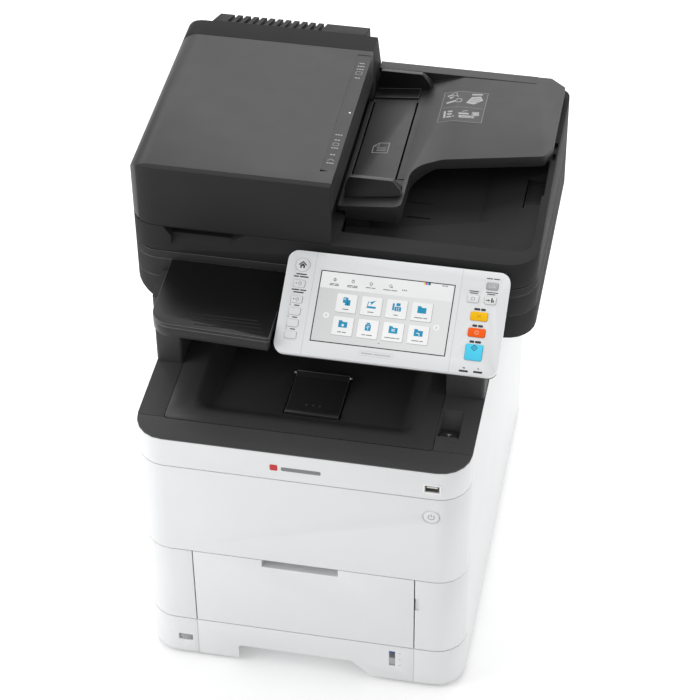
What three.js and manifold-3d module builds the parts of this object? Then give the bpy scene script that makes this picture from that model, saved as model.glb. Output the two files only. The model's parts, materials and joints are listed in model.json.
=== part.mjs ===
// Desktop colour photocopier: a white print engine with a paper cassette, a dark
// scanner carried over the output tray on two pillars, a document feeder in the
// scanner's lid and a tilting touch panel at the front.
//
// Millimetres, +Z up, front towards -Y. The machine is laid out from the middle of
// its front face at the lower edge of its covers. The outer group then moves it, so
// that the origin is under the centre of the whole machine, on the surface it stands on.

import * as THREE from 'three';
import { mergeVertices } from 'three/addons/utils/BufferGeometryUtils.js';
import Module from 'manifold-3d';

const wasm = await Module();
wasm.setup();

// ---- driving dimensions ----
const HALF_WIDTH = 195;
const DEPTH = 532;
const FRONT_RADIUS = 36;
const REAR_RADIUS = 12;
const WALL = 3;
const SEAM = 1.2; // visible joint between two covers
const GAP = 0.3; // clearance between pieces that nearly touch
const FOOT_HEIGHT = 5;

// Heights of the seams round the body.
const CASSETTE_TOP = 60.8;
const LOWER_TOP = 181.5;
const FRONT_COVER_TOP = 318.8;
const BODY_TOP = 360.5;
const DECK_TOP = 364;

// Vertical seams of the front, left and right of the multi-purpose tray.
const TRAY_LEFT = -132.2;
const TRAY_RIGHT = 135.8;
const RETURN_DEPTH = 37; // where the front covers' returns meet the side covers

// Output tray between the pillars.
const BAY_LEFT = -164;
const BAY_RIGHT = 149.4;
const BAY_FRONT = 31.8;
const BAY_REAR = 336;
const PILLAR_FRONT = 126;

// Scanner and lid.
const SCANNER_LEFT = -231.9;
const SCANNER_RIGHT = 241.4;
const SCANNER_FRONT = 176.3;
const SCANNER_REAR = 499;
const SCANNER_BOTTOM = 418.8;
const SCANNER_TOP = 490.8;
const LID_BOTTOM = 492.3;
const LID_TOP = 527.8;
const FEEDER_TOP = 609.9;
const FEEDER_RIGHT = 6.5;
const FEEDER_COVER_FRONT = 184;
const FEEDER_COVER_REAR = 446;
const LID_HINGE = { y: 508, z: 494.5, radius: 6.5 };

// Document shelf beside the panel.
const SHELF = { left: -182, right: -42, front: 61, rear: 175.6, bottom: 462.5, top: 480.5, seam: 475.6 };

// Control panel: centre of its screen, and its edges measured from there.
const PANEL = {
  x: 78.2, y: 110.5, z: 493.1, tilt: 29.9, left: -116.8, right: 137.3, bottom: -60.2, top: 63.2, radius: 12,
};
const PANEL_HINGE = { t: -34, n: -22, radius: 7, pin: 4.5 };
const BEZEL_THICKNESS = 7;
const PANEL_THICKNESS = 14;
const SCREEN_WIDTH = 153;
const SCREEN_HEIGHT = 84.8;
const KEY_RISE = 0.8;
const KEY_POCKET = 4.4;

// ---- finishes ----
const finish = (
  color, roughness, metalness = 0,
) => new THREE.MeshStandardMaterial({ color, roughness, metalness });
const white = finish(0xe4e6e7, 0.45);
const charcoal = finish(0x3a3a3a, 0.55);
const darkTray = finish(0x242424, 0.5);
const steel = finish(0x9a9da0, 0.4, 0.8);
const rubber = finish(0x1c1c1c, 0.9);
const grey = finish(0xb9c0c3, 0.5);
const glass = finish(0x20282c, 0.1);
const keyWhite = finish(0xf0f1f2, 0.5);

// ---- solids ----

// Turns a closed three.js geometry into a solid that can be joined and cut.
function solidOf(geometry) {
  geometry.deleteAttribute('normal');
  geometry.deleteAttribute('uv');
  const welded = mergeVertices(geometry, 1e-4);
  const vertProperties = new Float32Array(welded.attributes.position.array);
  const triVerts = new Uint32Array(welded.index.array);
  return new wasm.Manifold(new wasm.Mesh({ numProp: 3, vertProperties, triVerts }));
}

// Turns a finished solid back into a named mesh and adds it to a group.
function place(name, solid, material, group) {
  const { vertProperties, triVerts, numProp } = solid.getMesh();
  const geometry = new THREE.BufferGeometry();
  const position = new Float32Array((vertProperties.length / numProp) * 3);
  for (let i = 0; i < position.length / 3; i += 1) {
    for (let k = 0; k < 3; k += 1) position[3 * i + k] = vertProperties[numProp * i + k];
  }
  geometry.setAttribute('position', new THREE.BufferAttribute(position, 3));
  geometry.setIndex(new THREE.BufferAttribute(new Uint32Array(triVerts), 1));
  const mesh = new THREE.Mesh(geometry, material);
  mesh.name = name;
  group.add(mesh);
}

function box(x0, x1, y0, y1, z0, z1) {
  const geometry = new THREE.BoxGeometry(x1 - x0, y1 - y0, z1 - z0);
  geometry.translate((x0 + x1) / 2, (y0 + y1) / 2, (z0 + z1) / 2);
  return solidOf(geometry);
}

// Outline through corners [u, v, radius], each corner rounded by its radius.
function outline(corners, steps = 5) {
  const points = [];
  corners.forEach(([u, v, radius = 0], i) => {
    const corner = new THREE.Vector2(u, v);
    if (radius === 0) {
      points.push(corner);
      return;
    }
    const before = corners[(i + corners.length - 1) % corners.length];
    const after = corners[(i + 1) % corners.length];
    const toBefore = new THREE.Vector2(before[0] - u, before[1] - v).normalize();
    const toAfter = new THREE.Vector2(after[0] - u, after[1] - v).normalize();
    const halfAngle = Math.acos(toBefore.dot(toAfter)) / 2;
    const middle = toBefore.clone().add(toAfter).normalize();
    const centre = corner.clone().addScaledVector(middle, radius / Math.sin(halfAngle));
    const start = corner.clone().addScaledVector(toBefore, radius / Math.tan(halfAngle)).sub(centre);
    const end = corner.clone().addScaledVector(toAfter, radius / Math.tan(halfAngle)).sub(centre);
    const turn = Math.atan2(start.cross(end), start.dot(end));
    for (let k = 0; k <= steps; k += 1) {
      const angle = (turn * k) / steps;
      points.push(start.clone().rotateAround(new THREE.Vector2(), angle).add(centre));
    }
  });
  return new THREE.Shape(points);
}

function disc(u, v, radius, sides = 24) {
  const points = [];
  for (let k = 0; k < sides; k += 1) {
    const angle = (2 * Math.PI * (k + 0.5)) / sides;
    points.push(new THREE.Vector2(u + radius * Math.cos(angle), v + radius * Math.sin(angle)));
  }
  return new THREE.Shape(points);
}

const extrusion = (shape, depth) => new THREE.ExtrudeGeometry(shape, { depth, bevelEnabled: false });

// The shape lies in x, y and runs up Z.
function alongZ(shape, z0, z1) {
  return solidOf(extrusion(shape, z1 - z0).translate(0, 0, z0));
}

// The shape lies in y, z and runs along X.
function alongX(shape, x0, x1) {
  const turn = new THREE.Matrix4().set(0, 0, 1, x0, 1, 0, 0, 0, 0, 1, 0, 0, 0, 0, 0, 1);
  return solidOf(extrusion(shape, x1 - x0).applyMatrix4(turn));
}

// The shape lies in x, z and runs along Y.
function alongY(shape, y0, y1) {
  const turn = new THREE.Matrix4().set(1, 0, 0, 0, 0, 0, -1, y1, 0, 1, 0, 0, 0, 0, 0, 1);
  return solidOf(extrusion(shape, y1 - y0).applyMatrix4(turn));
}

const joined = (...solids) => solids.reduce((sum, next) => sum.add(next));
const cut = (solid, ...tools) => tools.reduce((rest, tool) => rest.subtract(tool), solid);

// ---- body covers ----

// Plan of the body, moved inwards by inset.
function bodyPlan(inset = 0) {
  const side = HALF_WIDTH - inset;
  return outline([
    [-side, inset, FRONT_RADIUS - inset],
    [side, inset, FRONT_RADIUS - inset],
    [side, DEPTH - inset, REAR_RADIUS - inset],
    [-side, DEPTH - inset, REAR_RADIUS - inset],
  ]);
}

// Ring of cover wall that follows the body's plan between two heights.
function bodyWall(z0, z1) {
  return cut(alongZ(bodyPlan(), z0, z1), alongZ(bodyPlan(WALL), z0 - 1, z1 + 1));
}

// The part of that ring at the front, with its two returns.
function frontBand(z0, z1) {
  return bodyWall(z0, z1).intersect(box(-200, 200, -1, RETURN_DEPTH - SEAM / 2, z0, z1));
}

const REAR_SEAM = 160; // half width of the rear panel
const NOTCH = { bottom: 130, top: 150, width: 5.2, depth: 2.2 };

const LOUVRE = { count: 10, pitch: 8, height: 3, front: 372, rear: 468, bottom: 70 };

// Side cover with its front corner beside the tray, made for one side. The left one has louvres.
function sideCover(sign) {
  const seam = sign > 0 ? TRAY_RIGHT + SEAM / 2 : -TRAY_LEFT + SEAM / 2;
  const mirrored = (x0, x1, ...rest) => (sign > 0 ? box(x0, x1, ...rest) : box(-x1, -x0, ...rest));
  const panel = bodyWall(0, BODY_TOP - GAP).intersect(
    mirrored(REAR_SEAM, 200, RETURN_DEPTH + SEAM / 2, DEPTH + 1, 0, BODY_TOP),
  );
  const corner = bodyWall(CASSETTE_TOP + SEAM / 2, LOWER_TOP - SEAM / 2).intersect(
    mirrored(seam, 200, -1, RETURN_DEPTH + 2, 0, BODY_TOP),
  );
  const cover = joined(panel, corner);
  if (sign > 0) return cover;
  const { count, pitch, height, front, rear, bottom } = LOUVRE;
  const slots = Array.from({ length: count }, (_, i) => box(
    -200, WALL + 1 - HALF_WIDTH, front, rear, bottom + i * pitch, bottom + i * pitch + height,
  ));
  return cut(cover, ...slots);
}

const VENT = { count: 9, pitch: 8, height: 3, left: -120, right: -40, bottom: 60 };
const INLET = { left: 116, right: 148, bottom: 26, top: 52, depth: 9, wall: 2.5 };
const REAR_DOOR = { half: 150, bottom: 152, top: 328 };

function rearPanel() {
  let panel = bodyWall(0, BODY_TOP - GAP).intersect(
    box(-REAR_SEAM + SEAM, REAR_SEAM - SEAM, DEPTH - 32, DEPTH + 1, 0, BODY_TOP),
  );
  panel = cut(
    panel, box(-REAR_DOOR.half, REAR_DOOR.half, DEPTH - 10, DEPTH + 1, REAR_DOOR.bottom, REAR_DOOR.top),
  );
  for (let i = 0; i < VENT.count; i += 1) {
    const z = VENT.bottom + i * VENT.pitch;
    panel = cut(panel, box(VENT.left, VENT.right, DEPTH - 10, DEPTH + 1, z, z + VENT.height));
  }
  const { left, right, bottom, top, depth, wall } = INLET;
  const cup = box(left, right, DEPTH - depth - wall, DEPTH, bottom, top);
  const well = box(left + wall, right - wall, DEPTH - depth, DEPTH + 1, bottom + wall, top - wall);
  let socket = cut(joined(panel, cup), well);
  const middle = (left + right) / 2;
  [-7, 0, 7].forEach((offset) => {
    const x = middle + offset;
    const z = (bottom + top) / 2 + (offset === 0 ? 3 : -2);
    socket = joined(socket, box(x - 1, x + 1, DEPTH - depth - 1, DEPTH - 2, z - 2.5, z + 2.5));
  });
  return socket;
}

function rearCover() {
  const { half, bottom, top } = REAR_DOOR;
  const plate = box(-half + 0.8, half - 0.8, DEPTH - WALL, DEPTH, bottom + 0.8, top - 0.8);
  const ribs = [-100, 0, 100].map((x) => box(
    x - 1.5, x + 1.5, DEPTH - WALL - 7, DEPTH - WALL + 1, bottom + 8, top - 8,
  ));
  const grip = box(-30, 30, DEPTH - 1.6, DEPTH + 1, top - 16, top);
  return cut(joined(plate, ...ribs), grip);
}

// ---- frame and machinery inside ----

const CHASSIS = { outer: 188, inner: 184, front: 42, rear: 518, top: 356, railInner: 140, deck: 64 };

function chassis() {
  const { outer, inner, front, rear, top, railInner, deck } = CHASSIS;
  const pieces = [];
  [-1, 1].forEach((sign) => {
    const wallSpan = [sign * inner, sign * outer].sort((a, b) => a - b);
    const railSpan = [sign * railInner, sign * outer].sort((a, b) => a - b);
    pieces.push(box(...wallSpan, front, rear, GAP, top));
    pieces.push(box(...railSpan, front, rear, GAP, 4.8));
  });
  const back = cut(
    box(-outer, outer, rear - 4, rear, GAP, top), box(-146, 146, rear - 5, rear + 1, 156, 324),
  );
  const shelf = box(-outer, outer, front, rear, deck, deck + 4);
  return joined(...pieces, back, shelf);
}

// Exposure, drum and transfer unit, with a trough for each of its four drums.
const DRUM_PITCH = 70;
const DRUM_FIRST = 82;
const COLOURS = ['black', 'yellow', 'cyan', 'magenta'];

function imagingUnit() {
  const block = alongX(outline([
    [46, 74, 6], [436, 74, 6], [436, 216, 10], [60, 222, 10], [46, 200, 6],
  ], 2), -176, 176);
  const troughs = COLOURS.map((_, i) => alongX(
    disc(DRUM_FIRST + i * DRUM_PITCH, 232, 24, 14), -160, 160,
  ));
  return cut(block, ...troughs);
}

function toner(index) {
  const y = DRUM_FIRST + index * DRUM_PITCH;
  const flask = alongX(outline([
    [y - 28, 242, 12], [y + 28, 242, 12], [y + 28, 300, 8], [y - 28, 300, 8],
  ], 3), -165, 150);
  const handle = box(149, 166, y - 10, y + 10, 262, 290);
  return joined(flask, handle);
}

// ---- cassette ----

const CUTOUT = [[-82, -1], [-82, 23.5, 4], [59, 23.5, 6], [85, -1]];
const GAUGE_WINDOW = { left: 105.5, right: 113, bottom: 25, top: 51 };
const DIAL = { x: -148.25, y: 13.9, radius: 13.8, bottom: 22, top: 30 };

function cassetteFront() {
  const front = frontBand(0.6, CASSETTE_TOP - SEAM / 2);
  const gripRoof = box(-84, 88, WALL - 1, BIN.front - GAP, 24, 27);
  const grooves = [TRAY_LEFT, TRAY_RIGHT].map((x) => box(
    x - SEAM / 2, x + SEAM / 2, -1, 1, -1, CASSETTE_TOP,
  ));
  const { left, right, bottom, top } = GAUGE_WINDOW;
  return cut(
    joined(front, gripRoof),
    alongY(outline(CUTOUT, 3), -1, WALL + 0.5),
    box(left, right, -1, WALL + 1, bottom, top),
    box(DIAL.x - 8.75, DIAL.x + 8.75, -1, WALL + 1, DIAL.bottom - 1, DIAL.top + 1),
    ...grooves,
  );
}

// Tall enough for a ream; the low middle of its rear wall passes the pickup roller.
const BIN = { half: 160, front: 29, rear: 478, bottom: 5.5, top: 56 };

function cassetteTray() {
  const { half, front, rear, bottom, top } = BIN;
  const shell = box(-half, half, front, rear, bottom, top);
  const inside = box(-half + WALL, half - WALL, front + WALL, rear - WALL, bottom + 2.5, top + 1);
  const rollerGap = box(-40, 40, rear - 10, rear + 1, 30, top + 1);
  return cut(shell, inside, rollerGap);
}

// ---- front covers ----

const BUTTON = { x: 154, z: 290, radius: 9.4 };

function frontCover() {
  const band = frontBand(LOWER_TOP + SEAM / 2, FRONT_COVER_TOP - SEAM / 2);
  const ribs = [-110, 0, 110].map((x) => box(
    x - 1.5, x + 1.5, WALL - 1, 14, LOWER_TOP + 14, FRONT_COVER_TOP - 10,
  ));
  return cut(joined(band, ...ribs), alongY(disc(BUTTON.x, BUTTON.z, BUTTON.radius + 0.4), -1, WALL + 1));
}

const HANDLE = { left: -48, right: 44, bottom: 170, wall: 3, depth: 11 };

function multiPurposeTray() {
  const left = TRAY_LEFT + SEAM / 2;
  const right = TRAY_RIGHT - SEAM / 2;
  const bottom = CASSETTE_TOP + SEAM / 2;
  const top = LOWER_TOP - SEAM / 2;
  const plate = box(left, right, 0, WALL, bottom, top);
  const sides = [left, right - WALL].map((x) => box(x, x + WALL, WALL - 1, 24, bottom + 1, top - 6));
  const { wall, depth } = HANDLE;
  const cup = box(
    HANDLE.left - wall, HANDLE.right + wall, WALL - 1, depth + wall, HANDLE.bottom - wall, top,
  );
  const well = box(HANDLE.left, HANDLE.right, -1, depth, HANDLE.bottom, top + 1);
  return cut(joined(plate, ...sides, cup), well);
}

// ---- deck, output tray and stand ----

const LEVER_WELL = { left: 150.5, right: 175.5, front: 57, rear: 102.5, bottom: 347.5, wall: 1.4 };
const DECK_SEAM = { y: 33.6, half: 0.45, depth: 0.9 }; // between the deck's front band and its sides

function topFrame() {
  const window = outline([
    [BAY_LEFT, BAY_FRONT, 5], [BAY_RIGHT, BAY_FRONT, 5], [BAY_RIGHT, BAY_REAR], [BAY_LEFT, BAY_REAR],
  ]);
  const frontSlope = alongX(outline([
    [-1, DECK_TOP - 2.1], [10, DECK_TOP - 0.9, 25], [31, DECK_TOP + 0.01], [31, DECK_TOP + 1],
    [-1, DECK_TOP + 1],
  ]), -HALF_WIDTH - 1, HALF_WIDTH + 1);
  const { y: seamY, half, depth } = DECK_SEAM;
  const seams = [[-HALF_WIDTH - 1, BAY_LEFT + 1], [BAY_RIGHT - 1, HALF_WIDTH + 1]].map(
    ([x0, x1]) => box(x0, x1, seamY - half, seamY + half, DECK_TOP - depth, DECK_TOP + 1),
  );
  const deck = cut(
    alongZ(bodyPlan(), BODY_TOP + GAP, DECK_TOP),
    alongZ(window, BODY_TOP, DECK_TOP + 1),
    frontSlope,
    ...seams,
  );
  const { left, right, front, rear, bottom, wall } = LEVER_WELL;
  const pocket = box(left - wall, right + wall, front - wall, rear + wall, bottom - wall, DECK_TOP);
  const well = box(left, right, front, rear, bottom, DECK_TOP + 1);
  const scoop = alongX(outline([
    [rear - 20, 346.5], [rear + 1, 346.5], [rear + 1, DECK_TOP - 0.2], [rear - 6, 361, 8],
    [rear - 18, 351, 6],
  ], 4), left - 1, right + 1);
  return joined(cut(joined(deck, pocket), well), scoop);
}

function releaseLever() {
  const { left, right, front, bottom } = LEVER_WELL;
  const tab = outline([
    [front + 1, bottom + GAP], [front + 15, bottom + GAP], [front + 15, 358, 3], [front + 1, 362.5, 2],
  ], 3);
  return alongX(tab, left + 1, right - 1);
}

// Soft-edged bowl of the output tray: its floor falls towards the rear, and it blends into
// the rim over the bands given here.
const BOWL = {
  left: { rim: -137, floor: -116 },
  right: { rim: 130, floor: 104 },
  front: { rim: 49, floor: 88 },
  frontDepth: 342,
  rearDepth: 318,
};

const spread = (from, to, count) => Array.from(
  { length: count }, (_, i) => from + ((to - from) * i) / (count - 1),
);

// 0 on the floor and 1 at the rim, with a smooth start and end.
function blend(value, { rim, floor }) {
  const t = THREE.MathUtils.clamp((value - floor) / (rim - floor), 0, 1);
  return t * t * (3 - 2 * t);
}

function bowlHeight(x, y) {
  const along = THREE.MathUtils.clamp((y - BOWL.front.floor) / (BAY_REAR - BOWL.front.floor), 0, 1);
  const floor = THREE.MathUtils.lerp(BOWL.frontDepth, BOWL.rearDepth, along);
  const side = Math.max(blend(x, BOWL.left), blend(x, BOWL.right));
  const rise = 1 - (1 - side) * (1 - blend(y, BOWL.front));
  return THREE.MathUtils.lerp(floor, DECK_TOP + 0.05, rise);
}

// Everything above the bowl's surface, as one closed solid.
function bowl() {
  const xs = [
    ...spread(BOWL.left.rim - 2, BOWL.left.floor + 2, 11), -60, 0, 50,
    ...spread(BOWL.right.floor - 2, BOWL.right.rim + 2, 11),
  ];
  const ys = [...spread(BOWL.front.rim - 2, BOWL.front.floor + 2, 12), 130, 200, 270, BAY_REAR + 2];
  const block = new THREE.BoxGeometry(1, 1, 1, xs.length - 1, ys.length - 1, 1);
  const position = block.attributes.position;
  for (let i = 0; i < position.count; i += 1) {
    const x = xs[Math.round((position.getX(i) + 0.5) * (xs.length - 1))];
    const y = ys[Math.round((position.getY(i) + 0.5) * (ys.length - 1))];
    position.setXYZ(i, x, y, position.getZ(i) > 0 ? DECK_TOP + 5 : bowlHeight(x, y));
  }
  return solidOf(block);
}

// Output tray; it lifts as the cover over the toner.
function innerTray() {
  const left = BAY_LEFT + 0.7;
  const right = BAY_RIGHT - 0.7;
  const plan = outline([
    [left, 33.2, 4.5], [right, 33.2, 4.5], [right, BAY_REAR - 1], [left, BAY_REAR - 1],
  ]);
  const side = outline([[33, DECK_TOP], [33, 358], [40, 316], [335, 306], [335, DECK_TOP]]);
  const body = alongZ(plan, 300, DECK_TOP).intersect(alongX(side, left, right));
  const { left: a, right: b, front, rear, bottom } = STOPPER;
  const recess = box(a - 2, b + 2, front - 2, rear + 2, bottom - 4, 350);
  return cut(body, bowl(), recess);
}

const STOPPER = { left: -34, right: 30, front: 87, rear: 165, bottom: 337, top: 342 };

function paperStopper() {
  const { left, right, front, rear, bottom, top } = STOPPER;
  const profile = outline([
    [front, bottom + 1, 1.5], [front + 8, bottom + 1], [rear, bottom, 1],
    [rear, top + 1, 2], [rear - 6, top + 1, 2], [rear - 12, top - 1, 2],
    [front + 10, top, 1], [front + 8, top + 3, 2], [front, top + 3, 2.5],
  ], 3);
  return alongX(profile, left, right);
}

const STAND = {
  inset: 0.6, chamfer: 4, wall: 3, headRear: 175.5, bracketSeat: 440, hollowFront: 366,
  slot: { left: -112, right: 100, bottom: 380, top: 398, depth: 26 },
};
const EXIT_ROLLER = { y: 351, z: 389, radius: 6 };

function scannerStand() {
  const top = SCANNER_BOTTOM - 0.6;
  const plan = outline([
    [-HALF_WIDTH, PILLAR_FRONT, 4], [BAY_LEFT, PILLAR_FRONT, 3],
    [BAY_LEFT, BAY_REAR], [BAY_RIGHT, BAY_REAR],
    [BAY_RIGHT, PILLAR_FRONT, 3], [HALF_WIDTH - STAND.inset, PILLAR_FRONT, STAND.chamfer],
    [HALF_WIDTH - STAND.inset, DEPTH - 4, REAR_RADIUS], [-HALF_WIDTH, DEPTH - 4, REAR_RADIUS],
  ], 4);
  const column = alongZ(plan, DECK_TOP + GAP, top);
  const { headRear, bracketSeat } = STAND;
  const leftHead = alongZ(outline([
    [-HALF_WIDTH, PILLAR_FRONT, 4], [BAY_LEFT, PILLAR_FRONT, 3],
    [BAY_LEFT, headRear], [-HALF_WIDTH, headRear],
  ], 3), top - 1, SHELF.bottom - GAP);
  const rightHead = box(
    BAY_RIGHT + 1, HALF_WIDTH - 12, PILLAR_FRONT + 4, headRear, top - 1, bracketSeat - GAP,
  );
  const hollow = box(
    BAY_LEFT - 20, BAY_RIGHT + 34, STAND.hollowFront, DEPTH - 12, DECK_TOP, top - STAND.wall,
  );
  const { left, right, bottom, top: slotTop, depth } = STAND.slot;
  const slot = box(left, right, BAY_REAR - 1, BAY_REAR + depth, bottom, slotTop);
  return cut(joined(column, leftHead, rightHead), hollow, slot);
}

function shelfPlan(inset = 0) {
  return outline([
    [SHELF.left + inset, SHELF.front + 3 + inset, 24 - inset],
    [SHELF.right - inset, SHELF.front - 3 + inset, 3 - inset],
    [SHELF.right - inset, SHELF.rear], [SHELF.left + inset, SHELF.rear],
  ], 6);
}

function documentShelf() {
  const slab = alongZ(shelfPlan(), SHELF.bottom, SHELF.top);
  const hollow = box(
    SHELF.left + 24, SHELF.right - 4, SHELF.front + 22, 172, SHELF.bottom - 1, SHELF.top - WALL,
  );
  return cut(slab, hollow, grooveRing(shelfPlan, SHELF.seam, 0.7, 0.4));
}

// ---- scanner ----

function scannerPlan(inset = 0) {
  return outline([
    [SCANNER_LEFT + inset, SCANNER_FRONT + inset, 32 - inset],
    [SCANNER_RIGHT - inset, SCANNER_FRONT + inset, 34 - inset],
    [SCANNER_RIGHT - inset, SCANNER_REAR - inset, 18 - inset],
    [SCANNER_LEFT + inset, SCANNER_REAR - inset, 18 - inset],
  ], 6);
}

const GLASS = { left: -180, right: 190, front: 222, rear: 438, ledge: 6, thickness: 1.8 };
const STRIP = { left: -212, right: -192 };
const SCANNER_SEAMS = [452.6, 479.9];

function grooveRing(plan, z, depth = 0.9, half = 0.55) {
  return cut(alongZ(plan(-1), z - half, z + half), alongZ(plan(depth), z - half - 1, z + half + 1));
}

// Barrel of a hinge knuckle, tied to its parent by a web.
function knuckle(x0, x1, y, z, radius, web) {
  return joined(alongX(disc(y, z, radius, 16), x0, x1), box(x0, x1, ...web));
}

// The pane lies in the ledge round the scanner's window.
function platenGlass() {
  const margin = GLASS.ledge - GAP;
  const bottom = SCANNER_TOP - 2.1;
  return box(
    GLASS.left - margin, GLASS.right + margin, GLASS.front - margin, GLASS.rear + margin,
    bottom, bottom + GLASS.thickness,
  );
}

function scannerBase() {
  const chamfer = alongY(outline([
    [SCANNER_LEFT - 2, 436], [SCANNER_LEFT - 2, 410], [SCANNER_LEFT + 40, 410],
  ]), 170, 505);
  const opticsSpace = alongZ(scannerPlan(WALL), SCANNER_BOTTOM + WALL, SCANNER_TOP - WALL).intersect(
    box(SCANNER_LEFT + 30, SCANNER_RIGHT - 4, SCANNER_FRONT + 10, SCANNER_REAR - 10, 400, 500),
  );
  const { left, right, front, rear, ledge } = GLASS;
  const shell = cut(
    alongZ(scannerPlan(), SCANNER_BOTTOM, SCANNER_TOP),
    chamfer,
    opticsSpace,
    box(left, right, front, rear, SCANNER_TOP - 10, SCANNER_TOP + 1),
    box(left - ledge, right + ledge, front - ledge, rear + ledge, SCANNER_TOP - 2.4, SCANNER_TOP + 1),
    box(STRIP.left, STRIP.right, front, rear, SCANNER_TOP - 10, SCANNER_TOP + 1),
    ...SCANNER_SEAMS.map((z) => grooveRing(scannerPlan, z)),
  );
  const inner = box(
    SCANNER_LEFT + 5, SCANNER_LEFT + 31, SCANNER_FRONT + 30, SCANNER_REAR - 25, 440, SCANNER_TOP - WALL,
  );
  const { y, z, radius } = LID_HINGE;
  const web = [SCANNER_REAR - 1, y + 4, 474, 490];
  const lugs = [-150, 140].map((x) => knuckle(x, x + 10, y, z, radius, web));
  return joined(cut(shell, inner), ...lugs);
}

// ---- lid with the document feeder ----

const WELL_RIGHT = 232;
const WELL_FRONT = 202;
const WELL_REAR = 485;
const FEED_ROLLER = { x: -62, z: 572, radius: 11, front: 250, rear: 370 };
const ORIGINAL_STOP = { left: 211, right: 233, front: 295, rear: 350, z: 511.5 };
const GRIP = {
  left: -190.5, right: -93, top: 527.5, lipLeft: -181.7, lipRight: -111, lip: 515, bottom: 502,
  depth: 22,
};
const BUMP = { left: -198, right: -11, vents: 12, first: -181, pitch: 10.2, width: 4.6 };

// Section of the feeder's housing across the machine, moved inwards by inset.
function feederSection(inset, right) {
  return outline([
    [SCANNER_LEFT + inset, 500], [right, 500], [right, FEEDER_TOP - inset],
    [SCANNER_LEFT + inset, FEEDER_TOP - inset, 25 - inset],
  ], 7);
}

function feederGuide() {
  const section = outline([
    [-214, 526], [-214, 572, 22], [-180, 584, 8], [-36, 572, 8], [-14, 548, 6], [-14, 526],
  ], 4);
  const block = alongY(section, 192, 438);
  const { x, z, radius, front, rear } = FEED_ROLLER;
  return cut(block, box(x - radius - 1.5, x + radius + 1.5, front - 2, rear + 2, z - radius - 2, z + 30));
}

function lidWalls() {
  const rise = outline([
    [228, LID_TOP - 2], [228, LID_TOP], [300, 540, 30], [346, 547, 20], [WELL_REAR + 2, 547],
    [WELL_REAR + 2, LID_TOP - 2],
  ], 3);
  const right = alongX(rise, WELL_RIGHT, SCANNER_RIGHT);
  const brow = outline([
    [FEEDER_RIGHT, 520], [FEEDER_RIGHT, 525], [66, 532], [110, 542], [SCANNER_RIGHT, 547],
    [SCANNER_RIGHT, 520],
  ]);
  const rear = alongY(brow, WELL_REAR, SCANNER_REAR);
  return joined(right, rear).intersect(alongZ(scannerPlan(), 500, 560));
}

function rearHood() {
  const front = FEEDER_COVER_REAR + 0.4;
  const wallSection = outline([
    [front, 520], [front, 620], [470, 620], [479, 606, 3], [498, 560], [SCANNER_REAR, 520],
  ]);
  const housing = alongY(feederSection(0, FEEDER_RIGHT), 440, SCANNER_REAR)
    .intersect(alongX(wallSection, -240, 10));
  const core = housing.intersect(alongZ(scannerPlan(), 500, 620));
  const bumpSection = outline([
    [472, 580], [472, FEEDER_TOP], [478, FEEDER_TOP, 3], [521, 592, 4], [524, 562, 3], [490, 556],
  ], 3);
  const ventSection = outline([
    [479.5, 615], [479.5, 600], [492, 586], [506, 566], [530, 566], [530, 615],
  ]);
  const vents = [];
  for (let i = 0; i < BUMP.vents; i += 1) {
    const x = BUMP.first + i * BUMP.pitch;
    vents.push(alongX(ventSection, x, x + BUMP.width));
  }
  const bump = cut(alongX(bumpSection, BUMP.left, BUMP.right), ...vents);
  const hollow = box(SCANNER_LEFT + 30, FEEDER_RIGHT - 10, 440, 470, 530, FEEDER_TOP - 4);
  return cut(joined(core, bump), hollow);
}

// Pull recess in the lid's front, with a sloping lip under its mouth.
function gripRecess() {
  const { left, right, top, lipLeft, lipRight, lip, bottom, depth } = GRIP;
  const mouth = alongY(outline([
    [left, top], [lipLeft, lip], [lipRight, lip], [right, top],
  ]), SCANNER_FRONT - 1, SCANNER_FRONT + depth);
  const slope = alongX(outline([
    [SCANNER_FRONT - 5, bottom], [SCANNER_FRONT, bottom], [SCANNER_FRONT + 8, lip + 0.5],
    [SCANNER_FRONT - 5, lip + 0.5],
  ]), lipLeft, lipRight);
  return joined(mouth, slope);
}

// In the eject well: a step along its front, low ribs under the input tray and a rail at the exit.
function wellDetails() {
  const step = alongZ(outline([
    [13, WELL_FRONT + 0.5, 3], [WELL_RIGHT - 1, WELL_FRONT + 0.5, 14],
    [WELL_RIGHT - 1, 272], [188, 274, 20], [60, 238, 20], [13, 234],
  ]), 500, 511.5);
  const ribs = [270, 297, 324].map((y) => box(78, 106, y, y + 1.8, 500, 507.5));
  const rail = box(12, 38, 238, 244, 500, 521.5);
  return [step, ...ribs, rail];
}

// Two shallow pockets in the lid's right wall.
const WALL_WINDOWS = [[353, 366], [376, 387]].map(([y0, y1]) => box(235.6, 239.6, y0, y1, 542.5, 550));

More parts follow.
